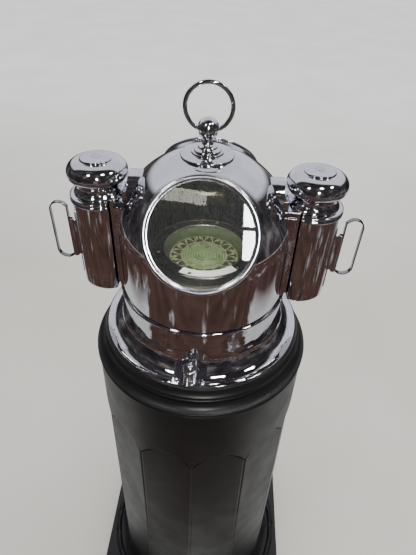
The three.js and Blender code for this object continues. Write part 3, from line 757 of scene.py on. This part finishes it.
def hood_dome():
    profile = [(HOOD_R, z) for z in range(DOME_LOW, int(DOME_Z), 4)]
    profile += arc((0, DOME_Z), (HOOD_R, DOME_RISE), 0, 90, 76)
    piece = turned("hood_shell", profile, 300)
    shape = bmesh.new()
    shape.from_mesh(piece.data)
    openings = [ABOVE_FLANGE @ window_place(back) for back in (False, True)]
    for window in openings:
        inside = [vert for vert in shape.verts if seen_from(window, vert)[1] < WINDOW_OPENING_R]
        bmesh.ops.delete(shape, geom=inside, context="VERTS")
    # the stepped edge left is drawn onto the opening's circle, then back onto the dome
    for edge in [e for e in shape.edges if e.is_boundary]:
        for vert in edge.verts:
            if vert.co.z / MM - FLANGE < DOME_LOW + 1:
                continue
            for window in openings:
                local, reach = seen_from(window, vert)
                if reach < WINDOW_OPENING_R + 8:
                    local.x *= WINDOW_OPENING_R / reach
                    local.y *= WINDOW_OPENING_R / reach
                    onto = window @ local
                    scale = dome_reach(onto.z - FLANGE) / math.hypot(onto.x, onto.y)
                    vert.co = Vector((onto.x * scale, onto.y * scale, onto.z)) * MM
    shape.to_mesh(piece.data)
    shape.free()
    piece.data.materials.append(CHROME)
    piece.data.materials.append(HOOD_INSIDE)
    modify(piece, "SOLIDIFY", thickness=HOOD_WALL * MM, offset=-1, material_offset=1, material_offset_rim=1)
    smooth(piece, 40)
    fitted(piece, "hood", "chrome", None, ["hood_dome"])


def hood_envelope(grow):
    """The space inside the hood's outside, grown a little, to cut what stands on it."""
    profile = [(0, -20), (HOOD_R + grow, -20),
               *arc((0, DOME_Z), (HOOD_R + grow, DOME_RISE + grow), 0, 90, 60)]
    return turned("envelope", profile, 240)


def hood_skirt():
    fillet = arc((FLANGE_R - 1, FILLET_R), (FILLET_R - 1, FILLET_R), 270, 180, 30)
    profile = [(SKIRT_BORE_R, -3.5), (FLANGE_R, -3.5), (FLANGE_R, -0.3), (FLANGE_R - 0.5, 0), *fillet]
    profile += [(SKIRT_R, z) for z in range(38, 84, 5)]
    profile += [(SKIRT_R, BEAD_Z - SEAM), (SKIRT_BORE_R, BEAD_Z - SEAM)]
    piece = turned("skirt_casting", profile, 300, True)
    pocket_floor = 0.4
    cut(piece, *(block("pocket", (-28, -210, pocket_floor), (28, -146.2, 50), facing(turn))
                 for turn in clamp_turns()))
    screws = [screw_head(facing(turn) @ moved(side * 20.5, -168.5, pocket_floor), 5.8, 0.6 * side, 1.6)
              for turn in clamp_turns() for side in (-1, 1)]
    for angle in [TAU * (i + 0.5) / 8 for i in range(8)]:
        screws.append(screw_head(facing(angle) @ moved(0, -172, 1.5), 1.6, angle))
    painted(piece, WAVY_CHROME)
    for screw in screws:
        painted(screw, CHROME)
    whole = merged("skirt_and_flange", [piece, *screws])
    fitted(whole, "hood", "chrome", None, ["hood_skirt"])


def clamp_turns():
    return [math.radians(CLAMP_AZIMUTH_DEG) + TAU * i / 3 for i in range(3)]


def hood_clamps():
    """Thumbscrews, each a drum with a flange and a domed head."""
    profile = [(0, -30), (4, -30), (4, 0.6), (10.8, 0.6), (11, 2), (11, 18.6), (12.6, 19.4), (13.4, 20.6),
               (13.4, 22.6), (12.4, 23.8), (11.2, 24), *arc((0, 24.2), (10.6, 10.2), 0, 90, 14)]
    for i, turn in enumerate(clamp_turns()):
        place = facing(turn) @ moved(0, -CLAMP_CIRCLE_R, 0)
        knob = turned(f"clamp_knob_{i + 1}", softened(profile, 0.4), 72, False, place)
        fitted(knob, f"clamp_{i + 1}", "chrome", SATIN_CHROME, [f"hood_clamp_{i + 1}"])


def hood_bead():
    bore = 141.5
    profile = [(bore, BEAD_Z), (SKIRT_R + 0.6, BEAD_Z),
               *arc((SKIRT_R + 0.8, BEAD_Z + 3), (2.1, 2.7), 285, 435, 12),
               (SKIRT_R + 0.6, BEAD_Z + 6), (bore, BEAD_Z + 6)]
    fitted(turned("bead_ring", profile, 300, True), *HOOD_CHROME, ["hood_bead"])


def windows():
    outside = WINDOW_RIM_AT
    profile = [(79.9, 100), (85, 100), (85, outside - 7.5), (85.6, outside - 6.6),
               *arc((82.6, outside - 3.6), (4.2, 3.4), -20, 130, 14),
               (79, outside - 1.4), (78.6, outside - 2.6), (WINDOW_SIGHT_R + 0.6, outside - 2.7),
               (WINDOW_SIGHT_R, outside - 3.3), (WINDOW_SIGHT_R, outside - 4), (79.9, outside - 4)]
    for back in (False, True):
        end = "rear" if back else "front"
        place = ABOVE_FLANGE @ window_place(back)
        rim = turned(f"{end}_window_rim", softened(profile, 0.35, closed=True), 200, True, place)
        cut(rim, hood_envelope(-1.5))
        fitted(rim, "hood", "chrome", SATIN_CHROME, [f"{end}_window_collar"])
        low, high = outside - 7, outside - 4.3
        disc = softened([(0, low), (GLASS_R, low), (GLASS_R, high), (0, high)], 0.5)
        if not back:
            fitted(turned("front_window_pane", disc, 160, False, place), "hood", "clear_glass", GLASS,
                   ["front_window_glass"])
            continue
        shutter = turned("rear_shutter", disc, 160, False, place)
        shutter.data.materials.append(HOOD_INSIDE)
        shutter.data.materials.append(CHROME)
        outward = (place.to_3x3() @ Vector((0, 0, 1))).normalized()
        for face in shutter.data.polygons:
            face.material_index = int(face.normal.dot(outward) > 0.5)
        fitted(shutter, "hood", "inner_brass", None, ["rear_window_shutter"])


def finial_disc():
    profile = [(0, 316), (41, 316), (41, 326), *arc((39.5, 326.6), (1.6, 1.9), 0, 90, 6), (26, 329.6),
               (24.8, 330.2), (24.3, 332.6), (23.4, 333), (0, 333)]
    disc = turned("finial_seat", softened(profile, 0.5), 140)
    cut(disc, hood_envelope(-1.0))
    fitted(disc, *HOOD_CHROME, ["finial_disc"])


def finial():
    low = 333.2
    profile = [(0, low), (20.6, low), (21, low + 1), (20.4, low + 2.6), (17, low + 3.4), (14.6, low + 4.4),
               (14.2, low + 6), (12.6, low + 7.6), (9, low + 9), (7, low + 12), (6.6, low + 15),
               (7.6, low + 17.2), (9.4, low + 18.6), *arc((0, BALL_Z), (BALL_R, BALL_R), -50, 90, 30)]
    piece = turned("finial_turning", softened(profile, 0.8), 96)
    fitted(piece, *HOOD_CHROME, ["finial"])


def lifting_ring():
    mouth = 27.0
    path = []
    for i in range(121):
        angle = math.radians(-90 + mouth + (360 - 2 * mouth) * i / 120)
        path.append((RING_R * math.cos(angle), 0, RING_Z + RING_R * math.sin(angle)))
    ring = swept("ring_wire", path, circle(RING_WIRE_R, 28))
    fitted(ring, "lifting_ring", "chrome", CHROME, ["lifting_ring"])


def rivet(place, radius, rise, steps):
    """A domed head facing the X of its place."""
    profile = [(0, -1), (radius, -1), *arc((0, 0), (radius, rise), 0, 90, steps)]
    return turned("rivet", profile, 20, False, place @ rotated(QUARTER, "Y"))


def light_box(side, turn):
    """The box that carries a lamp, its flanges riveted to the hood."""
    place = facing(turn)
    low = BEAD_Z + 7
    pad = block("pad", (100, -35, low), (149, 35, 255), place, bevel=1.6)
    cheeks = block("cheeks", (100, -45, low), (142, 45, 250), place, bevel=1.2)
    arch = [(-34, 100), (34, 100), *arc((0, 258), (34, 34), 0, 180, 36)]
    # local X, Y, Z of the prism become Y, Z, X of the hood
    axes = Matrix(((0, 0, 1, 0), (1, 0, 0, 0), (0, 1, 0, 0), (0, 0, 0, 1)))
    crown = prism("crown", arch, 80, 121.5, place @ axes, bevel=1.6)
    bridge = block("bridge", (100, -30, 240), (129.3, 30, 270), place, bevel=1.2)
    parts = [pad, cheeks, crown, bridge]
    for part in parts:
        cut(part, hood_envelope(-0.8))
    parts += [rivet(place @ moved(142, y, z), 3, 1.8, 6)
              for y in (-40, 40) for z in (110, 145, 178, 210, 236)]
    box = merged(f"light_box_shell_{side}", parts)
    fitted(box, "hood", "chrome", WAVY_CHROME, [f"light_box_{side}"])


# ---------- lamps ----------
def flat_back(limit):
    return lambda point: (max(point[0], limit), point[1], point[2])


def lamp(side, turn):
    place = facing(turn) @ moved(LAMP_X, 0, 0)
    body = f"lamp_{side}"
    profile = [(0, LAMP_BOTTOM), (38, LAMP_BOTTOM),
               *arc((LAMP_R - 5, LAMP_BOTTOM + 5), (5, 5), 270, 360, 8), (LAMP_R, 120), (LAMP_R, 200),
               (LAMP_R, LAMP_SHOULDER), (LAMP_R - 2, LAMP_SHOULDER),
               (LAMP_R - 2, LAMP_BOTTOM + 3), (0, LAMP_BOTTOM + 3)]
    can = turned(f"lamp_can_{side}", profile, 180, False, place, flat_back(LAMP_FLAT))
    fitted(can, body, "chrome", CHROME, [f"lamp_body_{side}"])

    low = LAMP_SHOULDER + SEAM
    profile = [(40, low), (45.8, low), *arc((46.4, low + 2.6), (2.1, 2.2), 280, 430, 8), (46.4, low + 5.4),
               (46.2, low + 6.4), *arc((46.2, low + 8.6), (1.8, 1.9), 285, 435, 8), (45.4, low + 11),
               (44, low + 11.7), (40, low + 11.7)]
    ring = turned(f"lamp_rim_{side}", profile, 180, True, place, flat_back(LAMP_FLAT))
    fitted(ring, body, "chrome", CHROME, [f"lamp_top_ring_{side}"])

    low = LAMP_SHOULDER + 12.3
    profile = [(0, 312), (22.8, 312), (24.3, 311.2), (24.5, 309), (25.6, 308.2),
               *arc((29, 289), (19, 18.8), 88, 0, 16), *arc((40, 287.6), (8, 9), 0, -80, 8), (36.6, 275),
               (34.6, 271), (34.2, 267), (35.4, 262.6), (38, 260.2), (40.2, 258), (41, low + 1), (41, low),
               (37, low), (33, 263), (31, 270), (38, 284), (22, 302), (0, 304)]
    cap = turned("cap", softened(profile, 0.5), 128, False, place)
    screw = screw_head(place @ moved(0, 0, 312), 3.4, 0.5, 0.7)
    cut(cap, turned("groove", [(6, 311.2), (7, 312.5), (8, 311.2)], 64, True, place))
    fitted(merged(f"lamp_mushroom_{side}", [cap, screw]), body, "chrome", CHROME, [f"lamp_cap_{side}"])

    lamp_hinge(side, place, body)
    lamp_handle(side, place)


def lamp_hinge(side, place, body):
    outline = arc((0, 0), (LAMP_R + 2.2, LAMP_R + 2.2), -11.5, 11.5, 10)
    outline += arc((0, 0), (LAMP_R + 0.1, LAMP_R + 0.1), 11.5, -11.5, 10)
    plate = prism("plate", outline, 92, 216, place, bevel=0.5)
    web = block("web", (LAMP_R + 1, -1.5, 124.4), (HANDLE_X - 2, 1.5, 195.6), place, bevel=0.5)
    profile = softened([(2.8, 122), (4.9, 122), (4.9, 198), (2.8, 198)], 0.8, closed=True)
    barrel = turned("barrel", profile, 40, True, place @ moved(HANDLE_X, 0, 0))
    rivets = [rivet(place @ moved(LAMP_R + 2, 0, z), 2.6, 1.4, 5) for z in (98, 110, 204, 211)]
    bracket = merged(f"handle_bracket_{side}", [plate, web, barrel, *rivets])
    fitted(bracket, body, "chrome", CHROME, [f"lamp_hinge_{side}"])


def lamp_handle(side, place):
    """A flat strip bent to a long loop round a straight pin."""
    half_thick, half_wide = 1.1, 4
    round_end = 33 / 2
    radius = round_end - half_thick
    middle = HANDLE_X + round_end
    low, high = 117 + round_end, 230 - round_end
    path = [(x, 0, z) for x, z in arc((middle, high), (radius, radius), 0, 150, 26)]
    path += [(x, 0, z) for x, z in arc((middle, low), (radius, radius), 210, 360, 26)]
    path.append((middle + radius, 0, high - 0.01))
    section = [(-half_thick, -half_wide), (half_thick, -half_wide), (half_thick, half_wide),
               (-half_thick, half_wide)]
    strip = swept(f"handle_loop_{side}", path, softened(section, 0.8, closed=True), True, place)
    fitted(strip, f"lamp_handle_{side}", "chrome", HANDLE_STEEL, [f"lamp_handle_{side}"])


# ---------- compass ----------
def bowl_wall():
    flat, depth, wall = 24, 54, 3
    belly = (flat, BOWL_LOW + depth)
    outer = [(0, BOWL_LOW), (flat, BOWL_LOW), *arc(belly, (BOWL_R - flat, depth), 275, 360, 24),
             (BOWL_R, BEZEL_LOW - SEAM)]
    inner = [(BOWL_R - wall, BEZEL_LOW - SEAM),
             *arc(belly, (BOWL_R - flat - wall, depth - wall), 360, 275, 24),
             (flat, BOWL_LOW + wall), (0, BOWL_LOW + wall)]
    bowl = turned("bowl", outer + inner, 180)
    bowl.data.materials.append(BOWL_OUTSIDE)
    bowl.data.materials.append(BOWL_PAINT)
    for face in bowl.data.polygons:
        centre = face.center / MM
        # the middle that this part of the wall curves round
        hub = Vector((centre.x, centre.y, 0))
        hub = hub.normalized() * min(hub.length, flat) + Vector((0, 0, FLANGE + belly[1]))
        if face.normal.dot(centre - hub) < 0:
            face.material_index = 1
    return bowl


def axle(name, near, far, turn, about):
    """A pin of the gimbal, from near to far, turned from Z about an axis."""
    profile = softened([(0, near), (3, near), (3, far), (0, far)], 0.6)
    place = ABOVE_FLANGE @ moved(0, 0, GIMBAL_Z) @ rotated(math.radians(turn), about)
    return painted(turned(name, profile, 28, False, place), DULL_BRASS)


def on_bezel(angle, level):
    """A place on the circle of the bezel's screws."""
    return facing(math.radians(angle)) @ moved(0, -BEZEL_SCREW_CIRCLE_R, level)


def compass():
    pins = [axle("pin", BOWL_R - 1, GIMBAL_R + 6, turn, "X") for turn in (90, -90)]
    fitted(merged("bowl_shell", [bowl_wall(), *pins]), "bowl", "bowl_paint", None, ["compass_bowl"])

    low, high = BEZEL_LOW, BEZEL_TOP
    plate = [(BOWL_SIGHT_R + 3, low + 2), (BOWL_SIGHT_R + 3, low), (BEZEL_R - 0.6, low),
             (BEZEL_R, low + 0.8), (BEZEL_R, high - 2.2), (BEZEL_R - 1.8, high - 0.9),
             (BEZEL_R - 2.6, high - 0.9),
             (BEZEL_R - 2.8, high - 0.3), (BOWL_SIGHT_R + 3, high - 0.3), (BOWL_SIGHT_R + 2.6, low + 2)]
    lip = [(BOWL_SIGHT_R + 2.4, low + 2), (BOWL_SIGHT_R + 2.8, high - 0.6), (BOWL_SIGHT_R + 2, high),
           (BOWL_SIGHT_R + 0.9, high), (BOWL_SIGHT_R, high - 1), (BOWL_SIGHT_R, low + 2)]
    parts = [painted(turned("bezel", softened(plate, 0.4, closed=True), 200, True), BEZEL),
             painted(turned("lip", softened(lip, 0.4, closed=True), 200, True), BRIGHT_RIM)]
    for i in range(6):
        screw = screw_head(on_bezel(BEZEL_SCREW_TURN_DEG + 60 * i, high - SEAM), 2.9, 0.5 + i, 1.0)
        parts.append(painted(screw, STEEL))
    fitted(merged("bezel_plate", parts), "bowl", "inner_brass", None, ["bezel_ring"])

    wide = BOWL_SIGHT_R + 2.2
    pane = softened([(0, low + 0.1), (wide, low + 0.1), (wide, low + 1.6), (0, low + 1.6)], 0.2)
    pane = turned("bowl_pane", pane, 120)
    fitted(pane, "bowl", "clear_glass", BOWL_GLASS, ["bowl_glass"])
    label_strip(high + SEAM)


def label_strip(level):
    """A white strip bent along the bezel, punched where a screw comes through it."""
    start, end = (math.radians(a) for a in LABEL_SPAN_DEG)
    near, far = BOWL_SIGHT_R + 2, BEZEL_R - 3
    steps = 40
    outline = []
    for r, first, last in ((near, start, end), (far, end, start)):
        outline += [polar(r, between(first, last, i / steps), 0)[:2] for i in range(steps + 1)]
    label = prism("label_strip", outline, level, level + 0.6)
    low, high = level - 2, level + 3
    cut(label, turned("punch", [(0, low), (3.6, low), (3.6, high), (0, high)], 32, False,
                      on_bezel(BEZEL_SCREW_TURN_DEG, 0)))
    fitted(label, "bowl", "label_plastic", LABEL, ["label_plate"])


def wedge(angle, near, far, near_half, far_half, level):
    """A flat mark on the card, as the four corners of one face."""
    edges = ((near, near_half), (far, far_half), (far, -far_half), (near, -near_half))
    return [polar(r, angle + half / r, level) for r, half in edges]


def rose_points():
    """Black marks in a ring: eight bold darts, eight diamonds, and smaller points between them."""
    marks = []
    steps = 64
    for k in range(steps):
        angle = math.radians(ROSE_TURN_DEG) + TAU * k / steps
        if k % 8 == 0:
            marks.append((angle, 40.6, 54, 5.2, 0.6))
            marks.append((angle, 54.8, 58, 1.0, 2.6))
        elif k % 8 == 4:
            marks.append((angle, 40.6, 48.5, 0.8, 3.9))
            marks.append((angle, 48.5, 57.5, 3.9, 0.6))
        elif k % 2 == 0:
            marks.append((angle, 41.5, 57.5, 0.5, 4.2))
        else:
            marks.append((angle, 41, 50.5, 2.5, 0.4))
            marks.append((angle, 52, 57, 0.4, 1.5))
    verts, faces = [], []
    for mark in marks:
        faces.append(tuple(range(len(verts), len(verts) + 4)))
        verts += wedge(*mark, CARD_Z + 0.12)
    piece = build("points", verts, faces)
    modify(piece, "SOLIDIFY", thickness=0.00014, offset=0)
    return painted(piece, CARD_BLACK)


def compass_card():
    top = CARD_Z
    edge = [(CARD_INNER_R, top - 1.2), (CARD_R, top - 1.2), (CARD_R, top), (CARD_INNER_R, top)]
    rim = turned("rim", softened(edge, 0.3, closed=True), 160, True)
    ridges = []
    for i, r in enumerate((38.6, 35.6, 32.4, 29.0, 25.0, 20.6)):
        ridges += [(r, top - 0.1 - 0.05 * i), (r - 0.9, top + 0.35), (r - 1.9, top - 0.1 - 0.05 * i)]
    float_top = [(CARD_INNER_R, top), *ridges, (14, top - 0.3), (9, top - 0.1), (0, top + 0.1)]
    float_low = [(0, top - 12), (24, top - 12), (CARD_INNER_R, top - 1.4)]
    body = turned("float", float_low + float_top, 160)
    parts = [painted(rim, CARD_RING), painted(body, CARD_CENTRE), rose_points()]
    low, high = top + 0.02, top + 0.16
    for r, width in ((40.2, 0.5), (58.2, 0.4)):
        line = turned("line", [(r, low), (r, high), (r + width, high), (r + width, low)], 160, True)
        parts.append(painted(line, CARD_BLACK))
    fitted(merged("card_disc", parts), "card", "card", None, ["compass_card"])


def gimbal():
    profile = [(GIMBAL_R, 133), (GIMBAL_R + 8, 133), (GIMBAL_R + 8, 147), (GIMBAL_R, 147)]
    ring = painted(turned("ring", softened(profile, 1.0, closed=True), 180, True), DULL_BRASS)
    pins = [axle("pin", GIMBAL_R + 6, 127.6, turn, "Y") for turn in (90, -90)]
    fitted(merged("gimbal_hoop", [ring, *pins]), "gimbal", "inner_brass", None, ["gimbal_ring"])
    profile = [(110, -43.7), (148, -43.7), (148, -38), (130, -38), (130, 112), (127, 112), (127, -38),
               (110, -38)]
    case = turned("case_wall", softened(profile, 0.8, closed=True), 180, True)
    fitted(case, "pedestal", "inner_brass", HOOD_INSIDE, ["compass_case"])


def carried_over():
    """CAD nodes whose shape stays get their finish."""
    looks = {
        "floor_plate": BLACK, "heeling_tube": BRASS, "heeling_bucket": BRASS,
        "magnet_tray_athwart": DULL_BRASS, "magnet_tray_fore_aft": DULL_BRASS,
        "gimbal_bearing_left": DULL_BRASS, "gimbal_bearing_right": DULL_BRASS,
        "bowl_ballast": LEAD, "pivot_post": BRASS, "lubber_pin": BRASS,
    }
    for side in ("left", "right"):
        looks.update({f"lamp_window_{side}": GLASS, f"lamp_font_{side}": BRASS,
                      f"lamp_burner_{side}": BRASS, f"lamp_wick_{side}": COTTON, f"wick_wheel_{side}": STEEL})
    for node, material in looks.items():
        painted(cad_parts[node], material)


column()
foot_moulding()
lobe_ring()
base_plate()
top_collar()
access_door()
door_hinge()
door_knob()
hood_dome()
hood_skirt()
hood_clamps()
hood_bead()
windows()
finial_disc()
finial()
lifting_ring()
for lamp_side, lamp_turn in (("right", 0.0), ("left", math.pi)):
    light_box(lamp_side, lamp_turn)
    lamp(lamp_side, lamp_turn)
compass()
compass_card()
gimbal()
carried_over()


# ---------- floor, light and camera ----------
def area_light(name, place, target, size, power, color=(1, 1, 1)):
    light = bpy.data.lights.new(name, "AREA")
    light.shape = "RECTANGLE"
    light.size, light.size_y = size
    light.energy = power
    light.color = color
    holder = added(name, light)
    holder.location = place
    holder.rotation_euler = (Vector(target) - Vector(place)).to_track_quat("-Z", "Y").to_euler()
    return holder


def only_reflected(piece):
    """Hides a stage piece from everything but mirror-like reflections."""
    piece.visible_camera = False
    piece.visible_diffuse = False
    piece.visible_shadow = False
    piece.visible_transmission = False


def glowing(look, color, strength):
    """Makes a look give off its colour instead of reflecting."""
    look.set(look.surface.inputs["Emission Color"], color)
    look.set(look.surface.inputs["Emission Strength"], strength)
    look.set(look.surface.inputs["Base Color"], (0, 0, 0, 1))


def room_shell():
    """A dome round the stage: pale behind the object, dark and cluttered in front and overhead."""
    radius = 3.2
    rings, columns = 24, 64
    verts = []
    for i in range(rings + 1):
        lift = math.pi / 2 * i / rings
        reach, height = radius * max(math.cos(lift), 0.001), radius * math.sin(lift)
        verts += [polar(reach / MM, TAU * k / columns, height / MM) for k in range(columns)]
    room = build("room_shell", verts, grid_faces(rings + 1, columns, False, True), ON_DECK)
    look = Look("room_look", (0, 0, 0), roughness=1.0)
    aim = look.node("VectorMath", Vector=look.place.outputs["Object"])
    aim.operation = "SUBTRACT"
    aim.inputs[1].default_value = (0, 0, EYE_LEVEL_M)
    unit = look.node("VectorMath", Vector=aim.outputs["Vector"])
    unit.operation = "NORMALIZE"
    x, y, z = look.axes(unit.outputs["Vector"])
    sideways = look.math("ABSOLUTE", x)
    # the backdrop rises behind, narrower towards the floor, and stops short of overhead
    behind = look.math("ADD", look.math("MULTIPLY", y, 0.6), look.math("MULTIPLY", z, 1.2))
    wide = look.fade(look.math("ADD", behind, look.math("MULTIPLY", sideways, -0.5)), 0.3, 0.45)
    tall = look.fade(look.math("ADD", y, look.math("MULTIPLY", z, -0.3)), -0.05, 0.08)
    backdrop = look.math("MULTIPLY", wide, tall)
    clutter = look.ramp(look.noise(1.1, 5, (1, 1, 0.45), 0.6),
                        [(0.4, (0.012, 0.011, 0.012)), (0.56, (0.05, 0.045, 0.045)),
                         (0.7, (0.22, 0.21, 0.2))])
    pale = look.ramp(look.noise(0.5, 2), [(0.3, (0.78, 0.79, 0.86)), (0.7, (0.92, 0.93, 1.0))])
    glowing(look, look.mix(backdrop, clutter, pale), 1.0)
    painted(room, look.material)
    only_reflected(room)


def room_floor():
    """Brown boards with pale patches, which the chrome sees in front of the object."""
    radius = 3.1
    rings, columns = 20, 64
    verts = [polar(radius / MM * i / rings, TAU * k / columns, 9)
             for i in range(1, rings + 1) for k in range(columns)]
    boards = build("room_boards", verts, grid_faces(rings, columns, False, True), ON_DECK)
    look = Look("boards_look", (0, 0, 0), roughness=1.0)
    wood = look.ramp(look.noise(4, 6, (0.4, 2, 1)),
                     [(0.35, (0.05, 0.026, 0.02)), (0.65, (0.1, 0.055, 0.042))])
    litter = look.ramp(look.noise(1.7, 7, (1, 1, 1), 0.7), [(0.57, 0.0), (0.6, 1.0)])
    scraps = look.ramp(look.noise(9, 5), [(0.35, (0.06, 0.055, 0.05)), (0.5, (0.3, 0.29, 0.27)),
                                          (0.62, (0.55, 0.55, 0.56))])
    x, y, _ = look.axes()
    torn = look.math("ADD", y, look.noise(2.4, 9, (1, 1, 1), 0.7))
    sheet = look.math("MULTIPLY", look.fade(torn, 0.08, 0.13),
                      look.fade(look.math("ABSOLUTE", x), 1.4, 1.2))
    sheet = look.math("MAXIMUM", sheet, look.fade(y, 1.0, 1.3))
    glowing(look, look.mix(sheet, look.mix(litter, wood, scraps), (0.6, 0.6, 0.58)), 1.0)
    painted(boards, look.material)
    only_reflected(boards)


def floor():
    far = 30.0
    verts = [(x / MM, y / MM, 0) for x, y in ((-far, -far), (far, -far), (far, far), (-far, far))]
    plane = build("floor", verts, [(0, 1, 2, 3)], ON_DECK)
    look = Look("floor_look", (0.6, 0.59, 0.57), roughness=0.9)
    # painted light: the floor is painted darker near the object and lighter towards the far end, in place of
    # the brighter light falling there
    painted_light_falloff = look.ramp(look.fade(look.axes()[1], -1.0, 5.0),
                      [(0.15, (0.485, 0.47, 0.435)), (0.38, (0.485, 0.475, 0.435)),
                       (0.83, (0.86, 0.86, 0.835)), (1.0, (0.93, 0.93, 0.91))])
    cloudy = look.ramp(look.noise(1.6, 5), [(0.35, (0.93, 0.925, 0.915)), (0.65, (1.0, 1.0, 1.0))])
    look.set(look.surface.inputs["Base Color"], look.mix(1.0, painted_light_falloff, cloudy, "MULTIPLY"))
    painted(plane, look.material)


def sky():
    world = bpy.data.worlds.new("room")
    bpy.context.scene.world = world
    world.use_nodes = True
    nodes, links = world.node_tree.nodes, world.node_tree.links
    where = nodes.new("ShaderNodeTexCoord")
    split = nodes.new("ShaderNodeSeparateXYZ")
    ramp = nodes.new("ShaderNodeValToRGB")
    links.new(where.outputs["Generated"], split.inputs["Vector"])
    links.new(split.outputs["Z"], ramp.inputs["Fac"])
    elements = ramp.color_ramp.elements
    elements[0].color = (0.8, 0.8, 0.79, 1)
    elements[1].color = (0.95, 0.96, 1.0, 1)
    links.new(ramp.outputs["Color"], nodes["Background"].inputs["Color"])
    nodes["Background"].inputs["Strength"].default_value = 1.35


def lights():
    ceiling = area_light("ceiling", (0.3, 0.6, 3.0), (0, 0.3, 0.4), (2.6, 2.6), 70, (1.0, 0.99, 0.97))
    ceiling.visible_glossy = False
    # two softboxes in front, and three small ceiling lamps
    area_light("lamp_high", (0.206, -1.9, 2.23), (0.206, 0, 2.23), (0.11, 0.155), 9)
    area_light("lamp_low", (0.208, -1.9, 2.03), (0.208, 0, 2.03), (0.11, 0.19), 9)
    for i, (x, y) in enumerate(((-0.8, -1.0), (0.45, -0.7), (1.2, -0.2))):
        area_light(f"ceiling_lamp_{i + 1}", (x, y, 2.75), (0, 0, 1.1), (0.22, 0.22), 5, (1.0, 0.96, 0.9))
    inside = area_light("inside_hood", (-0.03, -0.085, 1.262), (0.0, 0.1, 1.2), (0.07, 0.02), 0.45,
                        (1.0, 0.97, 0.85))
    inside.visible_camera = False
    inside.visible_glossy = False


def camera():
    place = Vector((0.0316, -0.6360, 1.5726))
    heading, pitch, roll = (math.radians(a) for a in (-2.06, 39.54, 2.46))
    ahead = Vector((math.sin(heading) * math.cos(pitch), math.cos(heading) * math.cos(pitch),
                    -math.sin(pitch)))
    level = Vector((math.cos(heading), -math.sin(heading), 0))
    upright = level.cross(ahead)
    right = level * math.cos(roll) + upright * math.sin(roll)
    up = upright * math.cos(roll) - level * math.sin(roll)
    data = bpy.data.cameras.new("camera")
    data.lens = 29.16
    data.clip_start = 0.01
    eye = added("camera", data)
    eye.matrix_world = moved(*place) @ Matrix((right, up, -ahead)).transposed().to_4x4()
    bpy.context.scene.camera = eye


floor()
sky()
lights()
room_shell()
room_floor()
camera()
